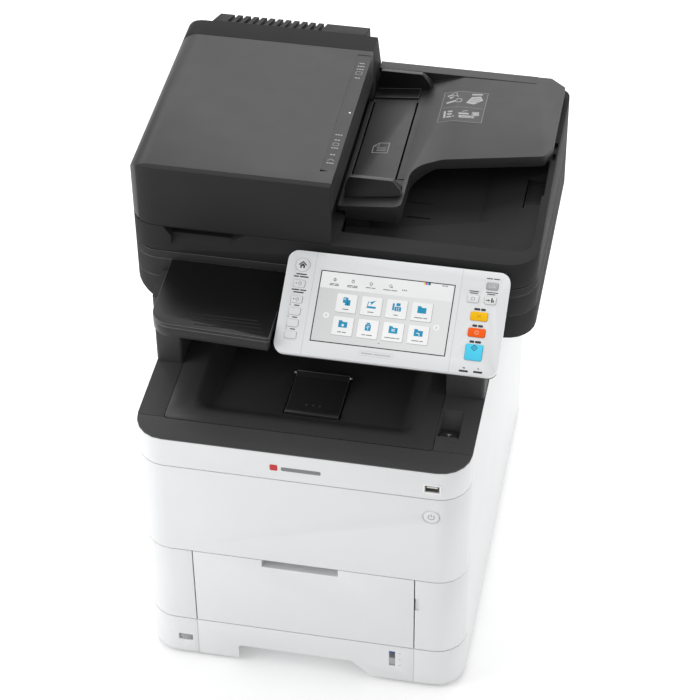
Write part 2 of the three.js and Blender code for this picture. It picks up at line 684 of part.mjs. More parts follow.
function adfBase() {
  const slab = alongZ(scannerPlan(), LID_BOTTOM, LID_TOP);
  const frontWall = alongY(feederSection(0, FEEDER_RIGHT), SCANNER_FRONT, FEEDER_COVER_FRONT - 0.4)
    .intersect(alongZ(scannerPlan(), LID_TOP - 1, FEEDER_TOP));
  const floor = outline([
    [12, 504], [160, 507, 40], [206, 517], [WELL_RIGHT, 526], [WELL_RIGHT, 560], [12, 560],
  ], 4);
  const well = alongY(floor, WELL_FRONT, WELL_REAR).intersect(
    alongZ(outline([
      [12, WELL_FRONT, 4], [WELL_RIGHT, WELL_FRONT, 16], [WELL_RIGHT, WELL_REAR, 8], [12, WELL_REAR, 4],
    ], 4), 500, 565),
  );
  const { left, right, front, rear, z } = ORIGINAL_STOP;
  const stopRecess = box(left - 1, right + 1.5, front - 1, rear + 1, z - 3, 560);
  const exitSlot = box(-30, 13, 215, 440, 506, 521);
  const underside = box(-205, -40, 205, 430, LID_BOTTOM - 1, 556);
  const padRecess = box(-190, 200, 212, 448, LID_BOTTOM - 1, LID_BOTTOM + 3);
  const { y, z: hingeZ, radius } = LID_HINGE;
  const web = [SCANNER_REAR - 1, y, hingeZ, hingeZ + radius];
  const lugs = [-138, 128].map((x) => knuckle(x, x + 10, y, hingeZ, radius, web));
  const lidSeam = grooveRing(scannerPlan, LID_TOP + 0.6).intersect(
    box(SCANNER_LEFT - 5, FEEDER_RIGHT, 170, 500, 500, 560),
  );
  const solid = cut(slab, well, exitSlot);
  const upper = joined(solid, frontWall, lidWalls(), rearHood(), feederGuide(), ...wellDetails());
  return joined(
    cut(upper, stopRecess, underside, padRecess, gripRecess(), lidSeam, ...WALL_WINDOWS), ...lugs,
  );
}

const COVER_HINGE = { x: -228.5, z: 533 };

const STRIP_STEP = { left: -10.6, front: 206, rear: 437, depth: 0.7 };

function adfTopCover() {
  const outer = alongY(feederSection(0, FEEDER_RIGHT), FEEDER_COVER_FRONT + 0.2, FEEDER_COVER_REAR - 0.2)
    .intersect(alongZ(scannerPlan(), 530, FEEDER_TOP));
  const inner = alongY(feederSection(WALL, FEEDER_RIGHT - WALL), 170, 470)
    .intersect(alongZ(scannerPlan(WALL), 500, FEEDER_TOP));
  const entry = box(-20, FEEDER_RIGHT + 1, 170, 470, 500, 568);
  const { left, front, rear, depth } = STRIP_STEP;
  const strip = box(left, FEEDER_RIGHT + 1, front, rear, FEEDER_TOP - depth, FEEDER_TOP + 1);
  const notch = alongZ(outline([
    [left, front - 2], [left + 12, front + 0.5], [left, front + 3],
  ]), FEEDER_TOP - 2.2, FEEDER_TOP + 1);
  return cut(outer, inner, entry, strip, notch);
}

// ---- input tray of the feeder ----

function inputTrayPlan(inset = 0) {
  const i = inset;
  return outline([
    [3 + i, 233 + i, 2], [77 - i, 233 + i, 7], [77 - i, 308 + i, 22],
    [229 - i, 341.5 + i, 9], [236 - i, 362, 9], [235.5 - i, 482 - i, 5], [217 - i, 498 - i, 6],
    [7.5 + i, 498 - i], [7.5 + i, 440 + i], [3 + i, 440 + i],
  ], 5);
}

// Upper face of the input tray from its left edge to its right; its thickness is measured down from this.
const TRAY_FACE = [[2, 541], [9, 541], [68, 547, 30], [112, 559.5, 30], [237, 560.5]];

function adfInputTray() {
  const rearSheet = alongY(outline([
    ...TRAY_FACE.map(([x, z, radius]) => [x, z - 9.5, radius]), ...TRAY_FACE.slice().reverse(),
  ], 3), 479, 500);
  const skirts = [
    [2, 534], [12.5, 534], [12.5, 524], [72, 524], [84, 532], [104, 545.8, 10], [229, 545.8],
    [230.5, 548.4], [237, 548.4],
  ];
  const frontSheet = alongY(outline([...skirts, ...TRAY_FACE.slice().reverse()], 3), 230, 480);
  const rear = alongY(outline([
    [7, 536], [66, 542], [108, 551], [200, 554], [200, 560.6], [7, 560.6],
  ]), 484, 500);
  const tray = joined(frontSheet, rearSheet, rear).intersect(alongZ(inputTrayPlan(), 515, 580));
  const hollow = alongY(outline([
    [0, 510], [237, 510], ...TRAY_FACE.map(([x, z, radius]) => [x, z - 7, radius]).reverse(),
  ], 3), 225, 476).intersect(alongZ(inputTrayPlan(3), 505, 580));
  const slots = [8, 61].map((x) => box(x, x + 2.4, 286, 440, 520, 570));
  const crossCut = box(61, 72, 284.4, 286.2, 545.4, 560);
  return cut(tray, hollow, ...slots, crossCut);
}

const GUIDE = {
  left: 8, right: 74, front: 247, rear: 480, thickness: 15, lean: 10, foot: 34, footRight: 62,
};

// Upright fence that leans away from the sheets, with a flat foot under them; made for the front or the rear.
function guide(sign) {
  const { left, right, thickness, lean, foot, footRight } = GUIDE;
  const y = sign > 0 ? GUIDE.front : GUIDE.rear;
  const top = sign > 0 ? 566 : 570;
  const fence = outline([
    [left, 541.4 + GAP], [right - 10, 548.5], [right, 551.2], [right, 556, 4], [right - 10, top, 6],
    [left + 5, top], [left, 553],
  ], 4);
  const side = outline([
    [y, 540], [y + sign * thickness, 540], [y + sign * thickness, top + 1], [y + sign * lean, top + 1],
  ]);
  const upright = alongY(fence, y - 20, y + 20).intersect(alongX(side, left - 1, right + 1));
  const footSection = outline([[left, 541.4 + GAP], [footRight, 547.3], [footRight, 549], [left, 543.4]]);
  const footSpan = [y + sign * (thickness - 1), y + sign * foot].sort((a, b) => a - b);
  return joined(upright, alongY(footSection, ...footSpan));
}

// ---- control panel, in its own axes: x across, y up its slope, z out of it ----

function panelPlan(inset = 0) {
  const { left, right, bottom, top } = PANEL;
  const radius = PANEL.radius - inset;
  return outline([
    [left + inset, bottom + inset, radius], [right - inset, bottom + inset, radius],
    [right - inset, top - inset, radius], [left + inset, top - inset, radius],
  ], 6);
}

const SMALL_KEY = { width: 12.8, height: 8.4 };
const LARGE_KEY = { width: 19, height: 10 };
const LEFT_KEYS = -99.3;
const KEYS = [
  { name: 'status_key', x: LEFT_KEYS, y: 23, ...SMALL_KEY },
  { name: 'menu_key', x: LEFT_KEYS, y: 4, ...SMALL_KEY },
  { name: 'copy_key', x: LEFT_KEYS, y: -10.4, ...SMALL_KEY },
  { name: 'send_key', x: LEFT_KEYS, y: -24.6, ...SMALL_KEY },
  { name: 'fax_key', x: LEFT_KEYS, y: -38.8, ...SMALL_KEY },
  { name: 'energy_key', x: 117.8, y: 45.9, ...SMALL_KEY },
  { name: 'keypad_key', x: 98.4, y: 28.6, ...SMALL_KEY },
  { name: 'login_key', x: 117.8, y: 28.6, ...SMALL_KEY },
  { name: 'reset_key', x: 108, y: 8.7, ...LARGE_KEY, color: 0xffc400 },
  { name: 'stop_key', x: 108, y: -10.7, ...LARGE_KEY, color: 0xff5a00 },
  { name: 'start_key', x: 108, y: -34, width: 19, height: 18.6, color: 0x4dd5f5 },
];
const HOME_KEY = { x: -98.9, y: 45.9, radius: 8 };

// Plan of a key, or of its pocket when grown by the clearance.
function keyPlan({ x, y, width, height }, grow = 0) {
  const w = width / 2 + grow;
  const h = height / 2 + grow;
  return outline([
    [x - w, y - h, 1.4 + grow], [x + w, y - h, 1.4 + grow], [x + w, y + h, 1.4 + grow],
    [x - w, y + h, 1.4 + grow],
  ], 2);
}

function panelBezel() {
  const w = SCREEN_WIDTH / 2 + 0.4;
  const h = SCREEN_HEIGHT / 2 + 0.4;
  const pockets = KEYS.map((key) => alongZ(keyPlan(key, GAP), -KEY_POCKET, 1));
  return cut(
    alongZ(panelPlan(), -BEZEL_THICKNESS, 0),
    box(-w, w, -h, h, -3, 1),
    alongZ(disc(HOME_KEY.x, HOME_KEY.y, HOME_KEY.radius + GAP), -KEY_POCKET, 1),
    ...pockets,
  );
}

function panelBack() {
  const { t, n, radius, pin } = PANEL_HINGE;
  const back = alongZ(panelPlan(1.2), -PANEL_THICKNESS, -BEZEL_THICKNESS - GAP);
  const arm = joined(
    alongX(disc(t, n, radius, 20), -20, 40), box(-20, 40, t - 5, t + 5, n, -PANEL_THICKNESS + 1),
  );
  return cut(joined(back, arm), alongX(disc(t, n, pin + GAP, 20), -21, 41));
}

const tilt = THREE.MathUtils.degToRad(PANEL.tilt);
const panelAxis = {
  y: PANEL.y + PANEL_HINGE.t * Math.cos(tilt) - PANEL_HINGE.n * Math.sin(tilt),
  z: PANEL.z + PANEL_HINGE.t * Math.sin(tilt) + PANEL_HINGE.n * Math.cos(tilt),
};

// Bracket under the panel: two ears with a pin between them, on a block in front of the scanner.
function panelBracket() {
  const { y, z } = panelAxis;
  const block = alongX(outline([
    [114, 440, 4], [175.6, 440], [175.6, 506], [114, 471, 3],
  ], 3), SHELF.right + GAP, HALF_WIDTH - 6);
  const earSection = outline([
    [y - 2, z - PANEL_HINGE.radius], [y + 26, 441], [y + 26, 470], [y - 2, z + PANEL_HINGE.radius],
  ]);
  const ears = [44, 119].map((x) => joined(
    alongX(disc(y, z, PANEL_HINGE.radius, 20), x, x + 13), alongX(earSection, x, x + 13),
  ));
  const pin = alongX(disc(y, z, PANEL_HINGE.pin, 20), 50, 126);
  const hollow = box(SHELF.right + 6, HALF_WIDTH - 60, 120, 170, 439, 466);
  return cut(joined(block, ...ears, pin), hollow);
}

// ---- assembly ----

const machine = new THREE.Group();
const add = (name, solid, material) => place(name, solid, material, machine);

add('chassis', chassis(), steel);
add('left_side_cover', sideCover(-1), white);
const notch = box(
  TRAY_RIGHT, TRAY_RIGHT + SEAM / 2 + NOTCH.width, -1, NOTCH.depth, NOTCH.bottom, NOTCH.top,
);
add('right_side_cover', cut(sideCover(1), notch), white);
add('rear_panel', rearPanel(), white);
add(
  'upper_front_panel',
  cut(frontBand(FRONT_COVER_TOP + SEAM / 2, BODY_TOP - GAP), box(146, 163, -1, WALL + 1, 330, 340)),
  white,
);
add('imaging_unit', imagingUnit(), charcoal);
COLOURS.forEach((colour, i) => add(`toner_${colour}`, toner(i), darkTray));
[[-160, 62], [160, 62], [-160, 480], [160, 480]].forEach(([x, y], i) => {
  const end = ['front_left', 'front_right', 'rear_left', 'rear_right'][i];
  add(`foot_${end}`, alongZ(disc(x, y, 15, 16), -FOOT_HEIGHT, 0), rubber);
});

add('front_cover', frontCover(), white);
add('power_button', alongY(disc(BUTTON.x, BUTTON.z, BUTTON.radius), 0.2, 6), white);
add('mp_tray', multiPurposeTray(), white);
add('mp_extension', box(-90, 90, 15, 17.2, 74, 162), grey);
add('cassette_front', cassetteFront(), white);
add('cassette_tray', cassetteTray(), grey);
add('lift_plate', box(-112, 112, 195, 462, 8.6, 10.4), steel);
add('paper_gauge', box(106, 112.5, WALL + 0.4, WALL + 2.4, 44, 50.6), finish(0x2b4c9a, 0.5));
add('size_dial', alongZ(disc(DIAL.x, DIAL.y, DIAL.radius, 28), DIAL.bottom, DIAL.top), grey);
add('pickup_roller', alongX(disc(440, 50, 12, 20), -20, 20), rubber);
add('rear_cover', rearCover(), white);
add('fuser_roller', alongX(disc(488, 235, 15, 24), -120, 120), rubber);
add('pressure_roller', alongX(disc(488, 266, 15, 24), -120, 120), rubber);

add('top_frame', topFrame(), charcoal);
add('release_lever', releaseLever(), charcoal);
add('inner_tray', innerTray(), darkTray);
add('paper_stopper', paperStopper(), darkTray);
add('scanner_stand', scannerStand(), charcoal);
add('exit_roller', alongX(disc(EXIT_ROLLER.y, EXIT_ROLLER.z, EXIT_ROLLER.radius, 18), -106, 94), rubber);
add('document_shelf', documentShelf(), charcoal);
add('panel_bracket', panelBracket(), charcoal);

add('scanner_base', scannerBase(), charcoal);
add('platen_glass', platenGlass(), glass);
add('scanner_carriage', box(-201, -183, GLASS.front - 10, GLASS.rear + 10, 466, 484), steel);

add('adf_base', adfBase(), charcoal);
add('adf_top_cover', adfTopCover(), charcoal);
add(
  'adf_roller',
  alongY(disc(FEED_ROLLER.x, FEED_ROLLER.z, FEED_ROLLER.radius, 20), FEED_ROLLER.front, FEED_ROLLER.rear),
  rubber,
);
add('adf_input_tray', adfInputTray(), charcoal);
add('guide_front', guide(1), darkTray);
add('guide_rear', guide(-1), darkTray);
const stop = ORIGINAL_STOP;
add(
  'original_stopper', box(stop.left, stop.right, stop.front, stop.rear, stop.z - 1.8, stop.z + 1.8),
  charcoal,
);

const panel = new THREE.Group();
panel.position.set(PANEL.x, PANEL.y, PANEL.z);
panel.rotation.x = tilt;
machine.add(panel);
place('panel_back', panelBack(), charcoal, panel);
place('panel_bezel', panelBezel(), white, panel);
place(
  'touch_screen',
  box(-SCREEN_WIDTH / 2, SCREEN_WIDTH / 2, -SCREEN_HEIGHT / 2, SCREEN_HEIGHT / 2, -2.7, -0.3), glass,
  panel,
);
const keyFloor = -KEY_POCKET + KEY_RISE + 0.1;
place(
  'home_key', alongZ(disc(HOME_KEY.x, HOME_KEY.y, HOME_KEY.radius), keyFloor, KEY_RISE), keyWhite, panel,
);
KEYS.forEach((key) => {
  const material = key.color ? finish(key.color, 0.4) : keyWhite;
  place(key.name, alongZ(keyPlan(key), keyFloor, KEY_RISE), material, panel);
});

const photocopier = new THREE.Group();
photocopier.name = 'photocopier';
machine.position.set(-(SCANNER_LEFT + SCANNER_RIGHT) / 2, -DEPTH / 2, FOOT_HEIGHT);
photocopier.add(machine);

export default photocopier;
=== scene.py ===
import json
import math

import bmesh
import bpy
from mathutils import Matrix, Vector


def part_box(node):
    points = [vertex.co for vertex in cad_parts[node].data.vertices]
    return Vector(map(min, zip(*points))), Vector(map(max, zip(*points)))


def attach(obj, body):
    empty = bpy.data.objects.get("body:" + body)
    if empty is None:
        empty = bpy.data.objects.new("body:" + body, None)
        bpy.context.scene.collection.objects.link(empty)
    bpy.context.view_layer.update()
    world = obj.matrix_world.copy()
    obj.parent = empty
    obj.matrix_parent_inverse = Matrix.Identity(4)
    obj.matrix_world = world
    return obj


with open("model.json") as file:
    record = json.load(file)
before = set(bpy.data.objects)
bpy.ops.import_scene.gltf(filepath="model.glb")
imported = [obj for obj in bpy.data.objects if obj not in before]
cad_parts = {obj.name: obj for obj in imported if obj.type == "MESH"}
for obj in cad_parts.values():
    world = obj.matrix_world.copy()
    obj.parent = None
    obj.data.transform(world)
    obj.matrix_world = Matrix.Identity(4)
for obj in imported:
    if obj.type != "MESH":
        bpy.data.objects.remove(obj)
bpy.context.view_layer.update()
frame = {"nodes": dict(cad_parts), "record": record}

NODES = frame["nodes"]

# ---- places, all worked out from the frame ----
# ORIGIN is the middle of the body's front face at the lower edge of its covers.
body_low, body_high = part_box("left_side_cover")[0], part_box("right_side_cover")[1]
ORIGIN = Vector(((body_low.x + body_high.x) / 2, body_low.y, body_low.z))


def mm(x, y, z):
    """A point given in millimetres from ORIGIN, in metres."""
    return ORIGIN + Vector((x, y, z)) / 1000


# ---- camera ----
CAMERA_AZIMUTH = math.radians(11.29)
CAMERA_ELEVATION = math.radians(41.66)
CAMERA_ROLL = math.radians(-0.75)
CAMERA_DISTANCE = 2.9429
CAMERA_TARGET = mm(11.4, 255, 300)
LENS_MM = 123.7
SENSOR_MM = 36
VIEW_LIMIT = 50

back = Vector((
    math.sin(CAMERA_AZIMUTH) * math.cos(CAMERA_ELEVATION),
    -math.cos(CAMERA_AZIMUTH) * math.cos(CAMERA_ELEVATION),
    math.sin(CAMERA_ELEVATION),
))
level_right = (-back).cross(Vector((0, 0, 1))).normalized()
level_up = level_right.cross(-back)
right = math.cos(CAMERA_ROLL) * level_right + math.sin(CAMERA_ROLL) * level_up
up = -math.sin(CAMERA_ROLL) * level_right + math.cos(CAMERA_ROLL) * level_up
camera_data = bpy.data.cameras.new("camera")
camera_data.lens = LENS_MM
camera_data.sensor_width = SENSOR_MM
camera_data.clip_end = VIEW_LIMIT
camera = bpy.data.objects.new("camera", camera_data)
bpy.context.scene.collection.objects.link(camera)
turn = Matrix((right, up, back)).transposed().to_4x4()
camera.matrix_world = Matrix.Translation(CAMERA_TARGET + back * CAMERA_DISTANCE) @ turn
bpy.context.scene.camera = camera


# ---- materials ----
class Nodes:
    """Short way of wiring a material's node tree."""

    def __init__(self, material):
        material.use_nodes = True
        self.tree = material.node_tree
        self.shader = self.tree.nodes["Principled BSDF"]

    def add(self, kind, **values):
        node = self.tree.nodes.new(kind)
        for name, value in values.items():
            node.inputs[name].default_value = value
        return node

    def link(self, source, target):
        self.tree.links.new(source, target)

    def set(self, **values):
        for name, value in values.items():
            self.shader.inputs[name.replace("_", " ")].default_value = value


def plastic(name, color, roughness, grain=0.00006, grain_size=0.0007, variation=0.03, specular=0.5):
    """Moulded plastic: fine spark-eroded grain, with slight drift of tone and gloss."""
    material = bpy.data.materials.new(name)
    n = Nodes(material)
    place = n.add("ShaderNodeTexCoord").outputs["Object"]
    drift = n.add("ShaderNodeTexNoise", Scale=9.0, Detail=3.0, Roughness=0.5)
    n.link(place, drift.inputs["Vector"])
    tones = n.add("ShaderNodeValToRGB")
    dark = [c * (1 - variation) for c in color] + [1]
    light = [min(1, c * (1 + variation)) for c in color] + [1]
    tones.color_ramp.elements[0].position = 0.35
    tones.color_ramp.elements[1].position = 0.65
    tones.color_ramp.elements[0].color = dark
    tones.color_ramp.elements[1].color = light
    n.link(drift.outputs["Fac"], tones.inputs["Fac"])
    n.link(tones.outputs["Color"], n.shader.inputs["Base Color"])
    gloss = n.add("ShaderNodeMapRange")
    gloss.inputs["To Min"].default_value = roughness - 0.04
    gloss.inputs["To Max"].default_value = roughness + 0.04
    smudge = n.add("ShaderNodeTexNoise", Scale=40.0, Detail=2.0)
    n.link(place, smudge.inputs["Vector"])
    n.link(smudge.outputs["Fac"], gloss.inputs["Value"])
    n.link(gloss.outputs["Result"], n.shader.inputs["Roughness"])
    texture = n.add("ShaderNodeTexNoise", Scale=1 / grain_size, Detail=2.0)
    n.link(place, texture.inputs["Vector"])
    bump = n.add("ShaderNodeBump", Strength=0.5, Distance=grain)
    n.link(texture.outputs["Fac"], bump.inputs["Height"])
    n.link(bump.outputs["Normal"], n.shader.inputs["Normal"])
    n.shader.inputs["Specular IOR Level"].default_value = specular
    return material


def metal(name, color, roughness):
    """Plated sheet steel with a faint rolled direction."""
    material = bpy.data.materials.new(name)
    n = Nodes(material)
    place = n.add("ShaderNodeTexCoord").outputs["Object"]
    stretch = n.add("ShaderNodeMapping")
    stretch.inputs["Scale"].default_value = (60, 900, 900)
    n.link(place, stretch.inputs["Vector"])
    lines = n.add("ShaderNodeTexNoise", Scale=1.0, Detail=2.0)
    n.link(stretch.outputs["Vector"], lines.inputs["Vector"])
    gloss = n.add("ShaderNodeMapRange")
    gloss.inputs["To Min"].default_value = roughness - 0.1
    gloss.inputs["To Max"].default_value = roughness + 0.1
    n.link(lines.outputs["Fac"], gloss.inputs["Value"])
    n.link(gloss.outputs["Result"], n.shader.inputs["Roughness"])
    tones = n.add("ShaderNodeValToRGB")
    tones.color_ramp.elements[0].color = [c * 0.92 for c in color] + [1]
    tones.color_ramp.elements[1].color = list(color) + [1]
    n.link(lines.outputs["Fac"], tones.inputs["Fac"])
    n.link(tones.outputs["Color"], n.shader.inputs["Base Color"])
    n.shader.inputs["Metallic"].default_value = 1.0
    return material


WHITE = plastic("white_plastic", (0.775, 0.782, 0.79), 0.42, variation=0.01)
PANEL_WHITE = plastic("panel_plastic", (0.8, 0.812, 0.822), 0.36, variation=0.01)
CHARCOAL = plastic("charcoal_plastic", (0.034, 0.034, 0.0345), 0.5, grain=0.00012, specular=0.27)
SCANNER_DARK = plastic("scanner_plastic", (0.042, 0.042, 0.0425), 0.6, grain=0.0001, specular=0.03)
DECK_GREY = plastic("deck_plastic", (0.072, 0.072, 0.0725), 0.52, grain=0.00012, specular=0.1)
LID_DARK = plastic("lid_plastic", (0.032, 0.032, 0.0325), 0.55, grain=0.0001, specular=0.03)
# A little darker than the feeder's cover, the same plastic: painted shade for how the tray's sloping face
# takes the light.
TRAY_GREY = plastic("feeder_tray_plastic", (0.03, 0.03, 0.0305), 0.48, grain=0.00012, specular=0.34)
# Same charcoal as the rest, glossier and much darker: the gloss is real, the darker colour is painted shade
# and dark reflection from the scanner that overhangs the shelf.
SHELF_GLOSS_AND_SHADE = plastic("shelf_plastic", (0.01, 0.01, 0.0102), 0.32, grain=0.00005, specular=0.3)
STOPPER_DARK = plastic("stopper_plastic", (0.034, 0.034, 0.0344), 0.34, grain=0.0001, specular=0.5)
# Lighter than the inner tray's own dark plastic: painted light that makes up for the shade the bay lies in
# under the scanner.
BAY_DARK = plastic("bay_plastic", (0.056, 0.056, 0.0565), 0.44, grain=0.0001, specular=0.36)
DARK = plastic("dark_tray_plastic", (0.014, 0.014, 0.0145), 0.46, grain=0.0001, specular=0.4)
# Darker than the plastic's own grey: painted shade for the inside of the cassette's front cut-out.
GREY = plastic("grey_plastic", (0.36, 0.38, 0.39), 0.5)
BAY_WALL = plastic("bay_wall_plastic", (0.062, 0.062, 0.0625), 0.52, grain=0.0001, specular=0.1)
# Lighter, glossier charcoal for the bevels of the dark mouldings: its light colour is a painted highlight.
EDGE_HIGHLIGHT = plastic("painted_edge_highlight", (0.115, 0.115, 0.116), 0.34, grain=0.00004, specular=0.6)
GUIDE_DARK = plastic("guide_plastic", (0.012, 0.012, 0.0122), 0.36, grain=0.00006, specular=0.4)
RUBBER = plastic("rubber", (0.018, 0.018, 0.018), 0.8, grain=0.0002, grain_size=0.0012, specular=0.3)
STEEL = metal("plated_steel", (0.62, 0.63, 0.64), 0.38)
BLUE = plastic("gauge_blue", (0.02, 0.07, 0.32), 0.45)
KEY_WHITE = plastic("key_white", (0.8, 0.805, 0.81), 0.38, variation=0.01)
KEY_GREY = plastic("key_grey", (0.42, 0.43, 0.44), 0.45)
KEY_YELLOW = plastic("key_yellow", (1.0, 0.54, 0.0), 0.42, specular=0.25)
KEY_ORANGE = plastic("key_orange", (1.0, 0.12, 0.0), 0.42, specular=0.25)
KEY_CYAN = plastic("key_cyan", (0.08, 0.66, 0.92), 0.42, specular=0.3)
SCREEN = plastic("screen_glass", (0.02, 0.02, 0.021), 0.12, grain=0.0, specular=0.5)
PAD = plastic("platen_foam", (0.8, 0.8, 0.79), 0.7, grain=0.0002, grain_size=0.0015, specular=0.2)


def clear_glass():
    """Pale green-white glass with a faint haze."""
    material = bpy.data.materials.new("platen_glass")
    n = Nodes(material)
    n.set(Base_Color=(0.9, 0.97, 0.95, 1), Alpha=0.35)
    place = n.add("ShaderNodeTexCoord").outputs["Object"]
    haze = n.add("ShaderNodeTexNoise", Scale=30.0, Detail=2.0)
    n.link(place, haze.inputs["Vector"])
    gloss = n.add("ShaderNodeMapRange")
    gloss.inputs["To Min"].default_value = 0.02
    gloss.inputs["To Max"].default_value = 0.07
    n.link(haze.outputs["Fac"], gloss.inputs["Value"])
    n.link(gloss.outputs["Result"], n.shader.inputs["Roughness"])
    return material


GLASS = clear_glass()
BY_SLOT = {
    "white_cover": WHITE, "charcoal": CHARCOAL, "dark_tray": DARK, "steel": STEEL, "rubber": RUBBER,
    "grey_plastic": GREY, "platen_glass": GLASS, "screen": SCREEN, "gauge_blue": BLUE, "key_white": KEY_WHITE,
    "key_grey": KEY_GREY, "key_yellow": KEY_YELLOW, "key_orange": KEY_ORANGE, "key_cyan": KEY_CYAN,
}
BY_NODE = {
    "panel_bezel": PANEL_WHITE, "scanner_base": SCANNER_DARK, "scanner_stand": BAY_WALL, "adf_base": LID_DARK,
    "adf_input_tray": TRAY_GREY, "document_shelf": SHELF_GLOSS_AND_SHADE, "top_frame": DECK_GREY,
    "inner_tray": BAY_DARK, "paper_stopper": STOPPER_DARK, "guide_front": GUIDE_DARK, "guide_rear": GUIDE_DARK,
}
# Dark mouldings whose rounded edges get a second, lighter and glossier material: the lighter colour is a
# painted highlight, the extra gloss is real.
PAINTED_HIGHLIGHT_EDGED = {
    CHARCOAL, SCANNER_DARK, LID_DARK, TRAY_GREY, SHELF_GLOSS_AND_SHADE, BAY_DARK, STOPPER_DARK, GUIDE_DARK, BAY_WALL,
    DECK_GREY,
}

# ---- edges and finish of the carried-over nodes: edge radii in millimetres, by node, else by slot ----
EDGE_BY_NODE = {
    "adf_input_tray": 1.6, "document_shelf": 2.0, "panel_bezel": 1.1, "top_frame": 1.4, "adf_base": 1.2,
    "adf_top_cover": 0.8, "scanner_base": 0.9, "paper_stopper": 0.6, "guide_front": 0.8, "guide_rear": 0.8,
    "release_lever": 0.5, "rear_panel": 0.5,
}
EDGE_BY_SLOT = {
    "white_cover": 0.7, "charcoal": 0.9, "dark_tray": 0.8, "steel": 0.3, "rubber": 0.6, "grey_plastic": 0.5,
}
DEFAULT_EDGE = 0.35
SMOOTH_LIMIT = math.radians(31)
FLAT_LIMIT = math.radians(0.6)
WELD_DISTANCE = 0.00001
HIGHLIGHT_SLOT = 1


def finish_node(name, slot):
    """Rounds a node's edges and gives it its material."""
    node = NODES[name]
    node.data.materials.clear()
    material = BY_NODE.get(name, BY_SLOT[slot])
    node.data.materials.append(material)
    # Dark mouldings get a second slot with the painted edge highlight.
    if material in PAINTED_HIGHLIGHT_EDGED:
        node.data.materials.append(EDGE_HIGHLIGHT)
    for polygon in node.data.polygons:
        polygon.use_smooth = True
    weld = node.modifiers.new("weld", "WELD")
    weld.merge_threshold = WELD_DISTANCE
    flat = node.modifiers.new("flat", "DECIMATE")
    flat.decimate_type = "DISSOLVE"
    flat.angle_limit = FLAT_LIMIT
    edge = node.modifiers.new("edge", "BEVEL")
    edge.width = EDGE_BY_NODE.get(name, EDGE_BY_SLOT.get(slot, DEFAULT_EDGE)) / 1000
    edge.segments = 3
    edge.limit_method = "ANGLE"
    edge.angle_limit = SMOOTH_LIMIT
    edge.harden_normals = True
    edge.use_clamp_overlap = True
    # The bevel's faces take that painted highlight.
    if material in PAINTED_HIGHLIGHT_EDGED:
        edge.material = HIGHLIGHT_SLOT


for entry in frame["record"]["subparts"]:
    finish_node(entry["node"], entry["material_slot"])

# ---- helpers for printed marks and small pieces, whose shapes are given in millimetres ----
PANEL_TILT = math.radians(29.9)
# Across, up and out of each face.
AXES = {
    "front": ((1, 0, 0), (0, 0, 1), (0, -1, 0)),
    "rear": ((-1, 0, 0), (0, 0, 1), (0, 1, 0)),
    "top": ((1, 0, 0), (0, 1, 0), (0, 0, 1)),
    "panel": (
        (1, 0, 0),
        (0, math.cos(PANEL_TILT), math.sin(PANEL_TILT)),
        (0, -math.sin(PANEL_TILT), math.cos(PANEL_TILT)),
    ),
}


def plane(facing, x=0, y=0, z=0):
    """Matrix of a face through a point given in millimetres from ORIGIN."""
    return Matrix.Translation(mm(x, y, z)) @ Matrix(AXES[facing]).transposed().to_4x4()


PANEL = plane("panel", 78.2, 110.5, 493.1)
FRONT = plane("front")
REAR = plane("rear", y=532)
BED = plane("top", z=490.8)
CARRIAGE_TOP = plane("top", z=484)
PAD_FOOT = plane("top", z=491.3)


def rect(cu, cv, w, h, r=0.0, steps=4):
    """Rounded rectangle by centre and size."""
    if r <= 0:
        return [(cu + sx * w / 2, cv + sy * h / 2) for sx, sy in ((-1, -1), (1, -1), (1, 1), (-1, 1))]
    points = []
    for sx, sy, start in ((1, -1, -90), (1, 1, 0), (-1, 1, 90), (-1, -1, 180)):
        for k in range(steps + 1):
            a = math.radians(start + 90 * k / steps)
            points.append((cu + sx * (w / 2 - r) + r * math.cos(a), cv + sy * (h / 2 - r) + r * math.sin(a)))
    return points


def on_circle(cu, cv, r, turns):
    angle = 2 * math.pi * turns
    return cu + r * math.cos(angle), cv + r * math.sin(angle)


def disc(cu, cv, r, sides=20):
    return [on_circle(cu, cv, r, k / sides) for k in range(sides)]


def stroke(points, width, closed=False):
    """Line of even width through points, as quads with mitred corners."""
    pts = [Vector(p) for p in points]
    count = len(pts)
    sharpest = 0.35
    sides = []
    for i, p in enumerate(pts):
        before = pts[i - 1] if i > 0 or closed else None
        after = pts[(i + 1) % count] if i < count - 1 or closed else None
        normals = []
        for a, b in ((before, p), (p, after)):
            if a is not None and b is not None:
                d = (b - a).normalized()
                normals.append(Vector((-d.y, d.x)))
        n = sum(normals, Vector((0, 0))).normalized()
        reach = width / 2 / max(sharpest, n.dot(normals[0]))
        sides.append((p + n * reach, p - n * reach))
    spans = zip(sides, sides[1:] + sides[:1]) if closed else zip(sides, sides[1:])
    return [[tuple(q) for q in (start[1], end[1], end[0], start[0])] for start, end in spans]


def ring(cu, cv, r, width, sides=24, start=0, sweep=360):
    """Circle or arc of even width; start and sweep are in degrees."""
    closed = sweep == 360
    steps = sides if closed else sides + 1
    points = [on_circle(cu, cv, r, (start + sweep * k / sides) / 360) for k in range(steps)]
    return stroke(points, width, closed)


def words(cu, cv, width, height, pattern, gap=0.8):
    """Row of short bars, with lengths in the pattern's shares, that stands for a printed caption."""
    total = sum(pattern)
    room = width - gap * (len(pattern) - 1)
    bars, at = [], cu - width / 2
    for share in pattern:
        w = room * share / total
        bars.append(rect(at + w / 2, cv, w, height, height * 0.35, 2))
        at += w + gap
    return bars


